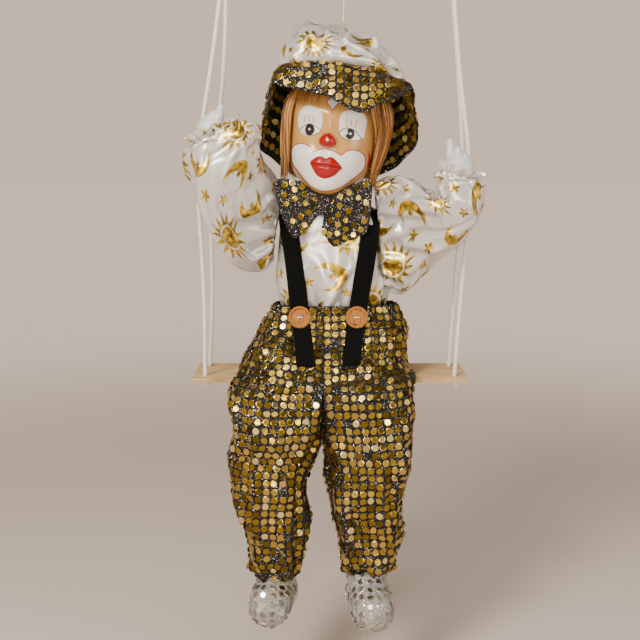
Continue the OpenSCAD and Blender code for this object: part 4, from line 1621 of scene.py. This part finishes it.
SHOE_R = 2.2
SHOE_PITCH = 6.5


def shoe(side, x, toe):
    """A stuffed cloth shoe, with sequins in rows round it."""
    ankle = np.array([x, -47.5, -128.0])
    parts = [
        ball_mesh(ankle + [0, 0, 1], (12, 11.5, 12)),
        ball_mesh(ankle + [toe[0] * 0.1, -2, -9], (14.6, 13, 10)),
        ball_mesh(ankle + [toe[0] * 0.2, 2, -17], (13.4, 11.3, 11.5))]
    for share in (0.25, 0.4, 0.55, 0.7, 0.85, 1.0):
        middle = ankle + np.array(toe) * share + [0, 0, -20 * (1 - share) * 0.8]
        parts.append(ball_mesh(middle, (15.6 - 1.2 * share, 13.4 + 0.6 * share, 13.6 + 0.9 * share), 28))
    points, faces = melted(f"shoe_{side}", parts, SILVER_CLOTH, 1.1, 10)
    obj = add_mesh(f"stuffed_shoe_{side}", points, faces, SILVER_CLOTH)
    subdivided(obj)
    finished(obj, f"foot_{side}", "shoe_sequins", f"shoe_{side}")
    tree = BVHTree.FromPolygons(points.tolist(), faces)
    centre = ankle + np.array([toe[0] * 0.5, toe[1] * 0.45, -17])
    axis = unit(np.array([0, -0.35, -1.0]))
    side_way = np.array([1.0, 0, 0])
    front_way = np.cross(side_way, axis)
    rows, columns = 60, 120
    grid = np.empty((rows, columns, 3))
    for i, lean in enumerate(np.linspace(math.radians(38), math.radians(172), rows)):
        for j in range(columns):
            turn = TAU * j / columns
            beside = math.cos(turn) * -front_way + math.sin(turn) * side_way
            way = -axis * math.cos(lean) + math.sin(lean) * beside
            hit = tree.ray_cast(Vector(centre + way * 60), Vector(-way))
            grid[i, j] = hit[0] if hit[0] is not None else centre + way * 13
    outward = points_outward(grid)
    discs = sequins_on(
        f"shoe_discs_{side}", grid, 0, SILVER_SEQUIN, flip=not outward, radius=SHOE_R, pitch=SHOE_PITCH,
        keep=lambda places: places[:, 2] < -133)
    finished(discs, f"foot_{side}", "shoe_sequins")


shoe("left", 25.5, (4, -21, -27))
shoe("right", -36.5, (-5.5, -21, -23))


# ---- Bow tie, braces, buttons

def wing(name, node, corners, knot_top, knot_low):
    """A pleated wing of the bow, pulled together at the knot.
    corners are the outer edge's points (x, z) from the top one down to the lowest one."""
    rows, columns = 40, 36
    u = np.linspace(0, 1, rows)[:, None]
    v = np.linspace(0, 1, columns)
    outer = curve_through(corners, v)
    inner = (1 - v)[:, None] * np.array(knot_top) + v[:, None] * np.array(knot_low)
    flat = (1 - u[..., None]) * inner[None] + u[..., None] * outer[None]
    pleat = 1.5 * np.cos(TAU * (2.5 * v + 0.1))[None, :] * np.exp(-u / 0.4)
    outwards = np.clip(np.sin(math.pi * np.clip(0.12 + 0.86 * u, 0, 1)), 0, 1) ** 0.6
    full = (np.sin(math.pi * v) ** 0.5)[None, :] * outwards
    sag = 1.2 * np.sin(TAU * (0.8 * u + 0.6 * v[None, :]))
    front_y = -28.2 - 2.6 * full - pleat * 0.7 - sag * u
    back_y = np.maximum(front_y + 1.2 + 3.2 * full, -27.6)
    front = np.stack([flat[..., 0], front_y, flat[..., 1]], axis=-1)
    back = np.stack([flat[..., 0], back_y, flat[..., 1]], axis=-1)
    loop = np.concatenate([front, back[:, ::-1]], axis=1)
    faces = [list(q) for q in grid_faces(rows, 2 * columns)]
    faces.append(list(range(2 * columns)))
    faces.append([(rows - 1) * 2 * columns + k for k in reversed(range(2 * columns))])
    obj = add_mesh(name, loop, faces, GLITTER)
    finished(obj, None, "sequin_cloth", node)
    normals = grid_normals(front, closed=False)
    flip = float(normals[..., 1].mean()) > 0
    discs = sequins_on(
        name + "_discs", front, columns // 2, closed=False, flip=flip, pitch=6.3, radius=2.15, lost=0.12)
    finished(discs, None, "sequin_cloth")
    for piece in (obj, discs):
        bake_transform(piece)


wing(
    "bow_cloth_left", "bow_wing_left",
    [(15, 136.5), (27.5, 138), (28, 124), (25, 104.5), (13, 98.5), (2, 94), (-6, 106)], (-2, 127),
    (-4, 116))
wing(
    "bow_cloth_right", "bow_wing_right",
    [(-20, 138.5), (-36.5, 139.5), (-36, 124), (-31, 110), (-24.5, 99.5), (-15, 107), (-10.5, 114)],
    (-6, 128), (-6, 117))


def bow_band():
    """The gathered strip round the bow's middle."""
    rows, columns = 30, 40
    u = np.linspace(0, math.pi, rows)[:, None]
    turn = round_angles(columns)[None, :]
    pleats = 1 + 0.07 * np.cos(9 * turn) * np.sin(u)
    x = -4 + 6.2 * np.sin(u) ** 0.7 * np.cos(turn) * pleats
    y = -29.8 - 2.6 * np.sin(u) ** 0.7 * np.sin(turn) * pleats
    z = 122.5 + 7 * np.cos(u) * np.ones_like(turn)
    grid = np.stack([x, y, z], axis=-1)
    obj = add_mesh("bow_band", grid, grid_faces(rows, columns), GLITTER)
    finished(obj, "swing", "sequin_cloth", "bow_knot")


bow_band()


def clothes_tree():
    """The dressed body that the braces lie on."""
    parts = [SHIRT_SURFACE]
    for grid in TROUSERS.values():
        parts.append((grid, grid_faces(*grid.shape[:2])))
    points, faces = joined(parts)
    return BVHTree.FromPolygons(points.tolist(), faces)


CLOTHES = clothes_tree()


def strap_row(start, way, across):
    """Where a strap's width meets the clothes: its edges stay near its middle's depth."""
    found = [CLOTHES.ray_cast(Vector(start + [x, 0, 0]), Vector(way))[0] for x in (0.0, *across)]
    middle = np.array(found[0])
    line = []
    for x, hit in zip(across, found[1:]):
        apart = np.clip(np.array(hit) - middle, -2, 2) if hit is not None else np.zeros(3)
        line.append(middle + [x, apart[1], apart[2]])
    return line


def brace(side, low, high, rear):
    """A felt strap up the front, over the shoulder and down the back."""
    half = 6.2
    across = np.linspace(-half, half, 7)
    rows = []
    for share in np.linspace(0, 1, 44):
        x = low[0] + (high - low[0]) * share
        rows.append(strap_row(np.array([x, -150, low[1] + (110 - low[1]) * share]), (0, 1, 0), across))
    for turn in np.radians(np.linspace(20, 160, 14)):
        way = np.array([0, -math.cos(turn), math.sin(turn)])
        rows.append(strap_row(np.array([high, -2, 102]) + 60 * way, -way, across))
    for share in np.linspace(0, 1, 30):
        x = high + (rear - high) * share
        rows.append(strap_row(np.array([x, 150, 110 - 68 * share]), (0, -1, 0), across))
    grid = np.array(rows).transpose(1, 0, 2)
    for _ in range(24):
        grid[:, 1:-1] = 0.25 * grid[:, :-2] + 0.5 * grid[:, 1:-1] + 0.25 * grid[:, 2:]
    for _ in range(3):
        grid[1:-1] = 0.25 * grid[:-2] + 0.5 * grid[1:-1] + 0.25 * grid[2:]
    grid[..., 0] = grid[..., 0].mean(axis=0) + across[:, None]
    centre = grid.mean(axis=0)
    outward = unit(np.cross(np.gradient(grid, axis=1), np.gradient(grid, axis=0)))
    outward = outward if outward[3, 5, 1] < 0 else -outward
    crown = (1 - (across / half) ** 2)[:, None, None] * 0.3
    outer = grid + outward * (2.5 + crown)
    inner = grid + outward * 1.2
    loop = np.concatenate([outer, inner[::-1]], axis=0).transpose(1, 0, 2)
    rows, columns, _ = loop.shape
    obj = add_mesh(f"felt_brace_{side}", loop, tube_faces(rows, columns), FELT)
    edges = obj.modifiers.new("soft_edges", "BEVEL")
    edges.width = 0.3 * MM
    edges.segments = 2
    edges.limit_method = "ANGLE"
    finished(obj, "swing", "brace_felt", f"brace_{side}")
    float(lengths_along(centre)[-1]) * MM


brace("left", (14, 14), 28.5, 14)
brace("right", (-16.5, 14), -28.5, -14)


BUTTON_FACING = turn_matrix("X", 80)
# Radius and height of a button's turned outline, from the middle of its face to its back.
BUTTON_OUTLINE = [
    (0.001, 2.0), (2.2, 1.9), (4.4, 1.75), (5.3, 1.7), (5.75, 2.25), (6.5, 2.8), (7.2, 2.65),
    (7.7, 1.7), (7.6, 0.8), (7.1, 0.1), (4, 0), (0.001, 0)]
HOLE_APART = 1.5
HOLE_R = 0.8


def button(side, at):
    """A turned wooden button with a dished middle, two drilled holes and a crossed stitch."""
    columns = 96
    turn = round_angles(columns)
    outline = curve_through(BUTTON_OUTLINE, np.linspace(0, 1, 150))
    radius, height = outline[:, :1], outline[:, 1:]
    x, y = radius * np.cos(turn), radius * np.sin(turn)
    to_hole = np.hypot(np.abs(x) - HOLE_APART, y)
    drilled = 1.4 * (1 - smooth_step(to_hole, HOLE_R - 0.1, HOLE_R + 0.1)) * (height > 1)
    grid = np.stack([x, y, height - drilled], axis=-1)
    obj = add_mesh(
        f"wooden_button_{side}", grid.reshape(-1, 3) @ BUTTON_FACING.T + at,
        grid_faces(len(grid), columns), BUTTON_WOOD)
    finished(obj, "swing", "button_wood", f"button_{side}")

    parts = []
    for slope in (-0.35, 0.35, 0.0):
        t = np.linspace(-1, 1, 17)
        line = np.stack([slope * t, 1.75 * t, 2.45 + 0.25 * (slope == 0) - 1.1 * t ** 6], axis=1)
        parts.append((tube_points(line, 0.3, 8) @ turn_matrix("Z", 90).T, tube_faces(len(line), 8)))
    points, faces = joined(parts)
    obj = add_mesh(f"button_stitch_{side}", points @ BUTTON_FACING.T + at, faces, STRING_COTTON)
    finished(obj, "swing", "string_white", f"button_thread_{side}")


button("left", (18.5, -32.4, 45))
button("right", (-21, -31.8, 45))


# ---- The CAD's own hard pieces

repaint("hanger_rod", HANGER_WOOD, 0.5)
repaint("hanging_eye", BRASS, 0.3)
repaint("string_eyelet", BRASS)
repaint("seat_board", PLYWOOD, 0.25)
repaint("neck_post", NECK_WOOD)
repaint("collar_band", ELASTIC)

make_light("key", (-480, -800, 700), 0.30, 12, (1.0, 0.94, 0.85))
make_light("front", (-90, -1100, 215), 0.3, 4.6, (1.0, 0.95, 0.88))
make_light("side", (700, -500, 250), 0.4, 1.6, (0.96, 0.97, 1.0))
make_light("top", (0, -260, 900), 0.8, 5, (1.0, 0.96, 0.9))
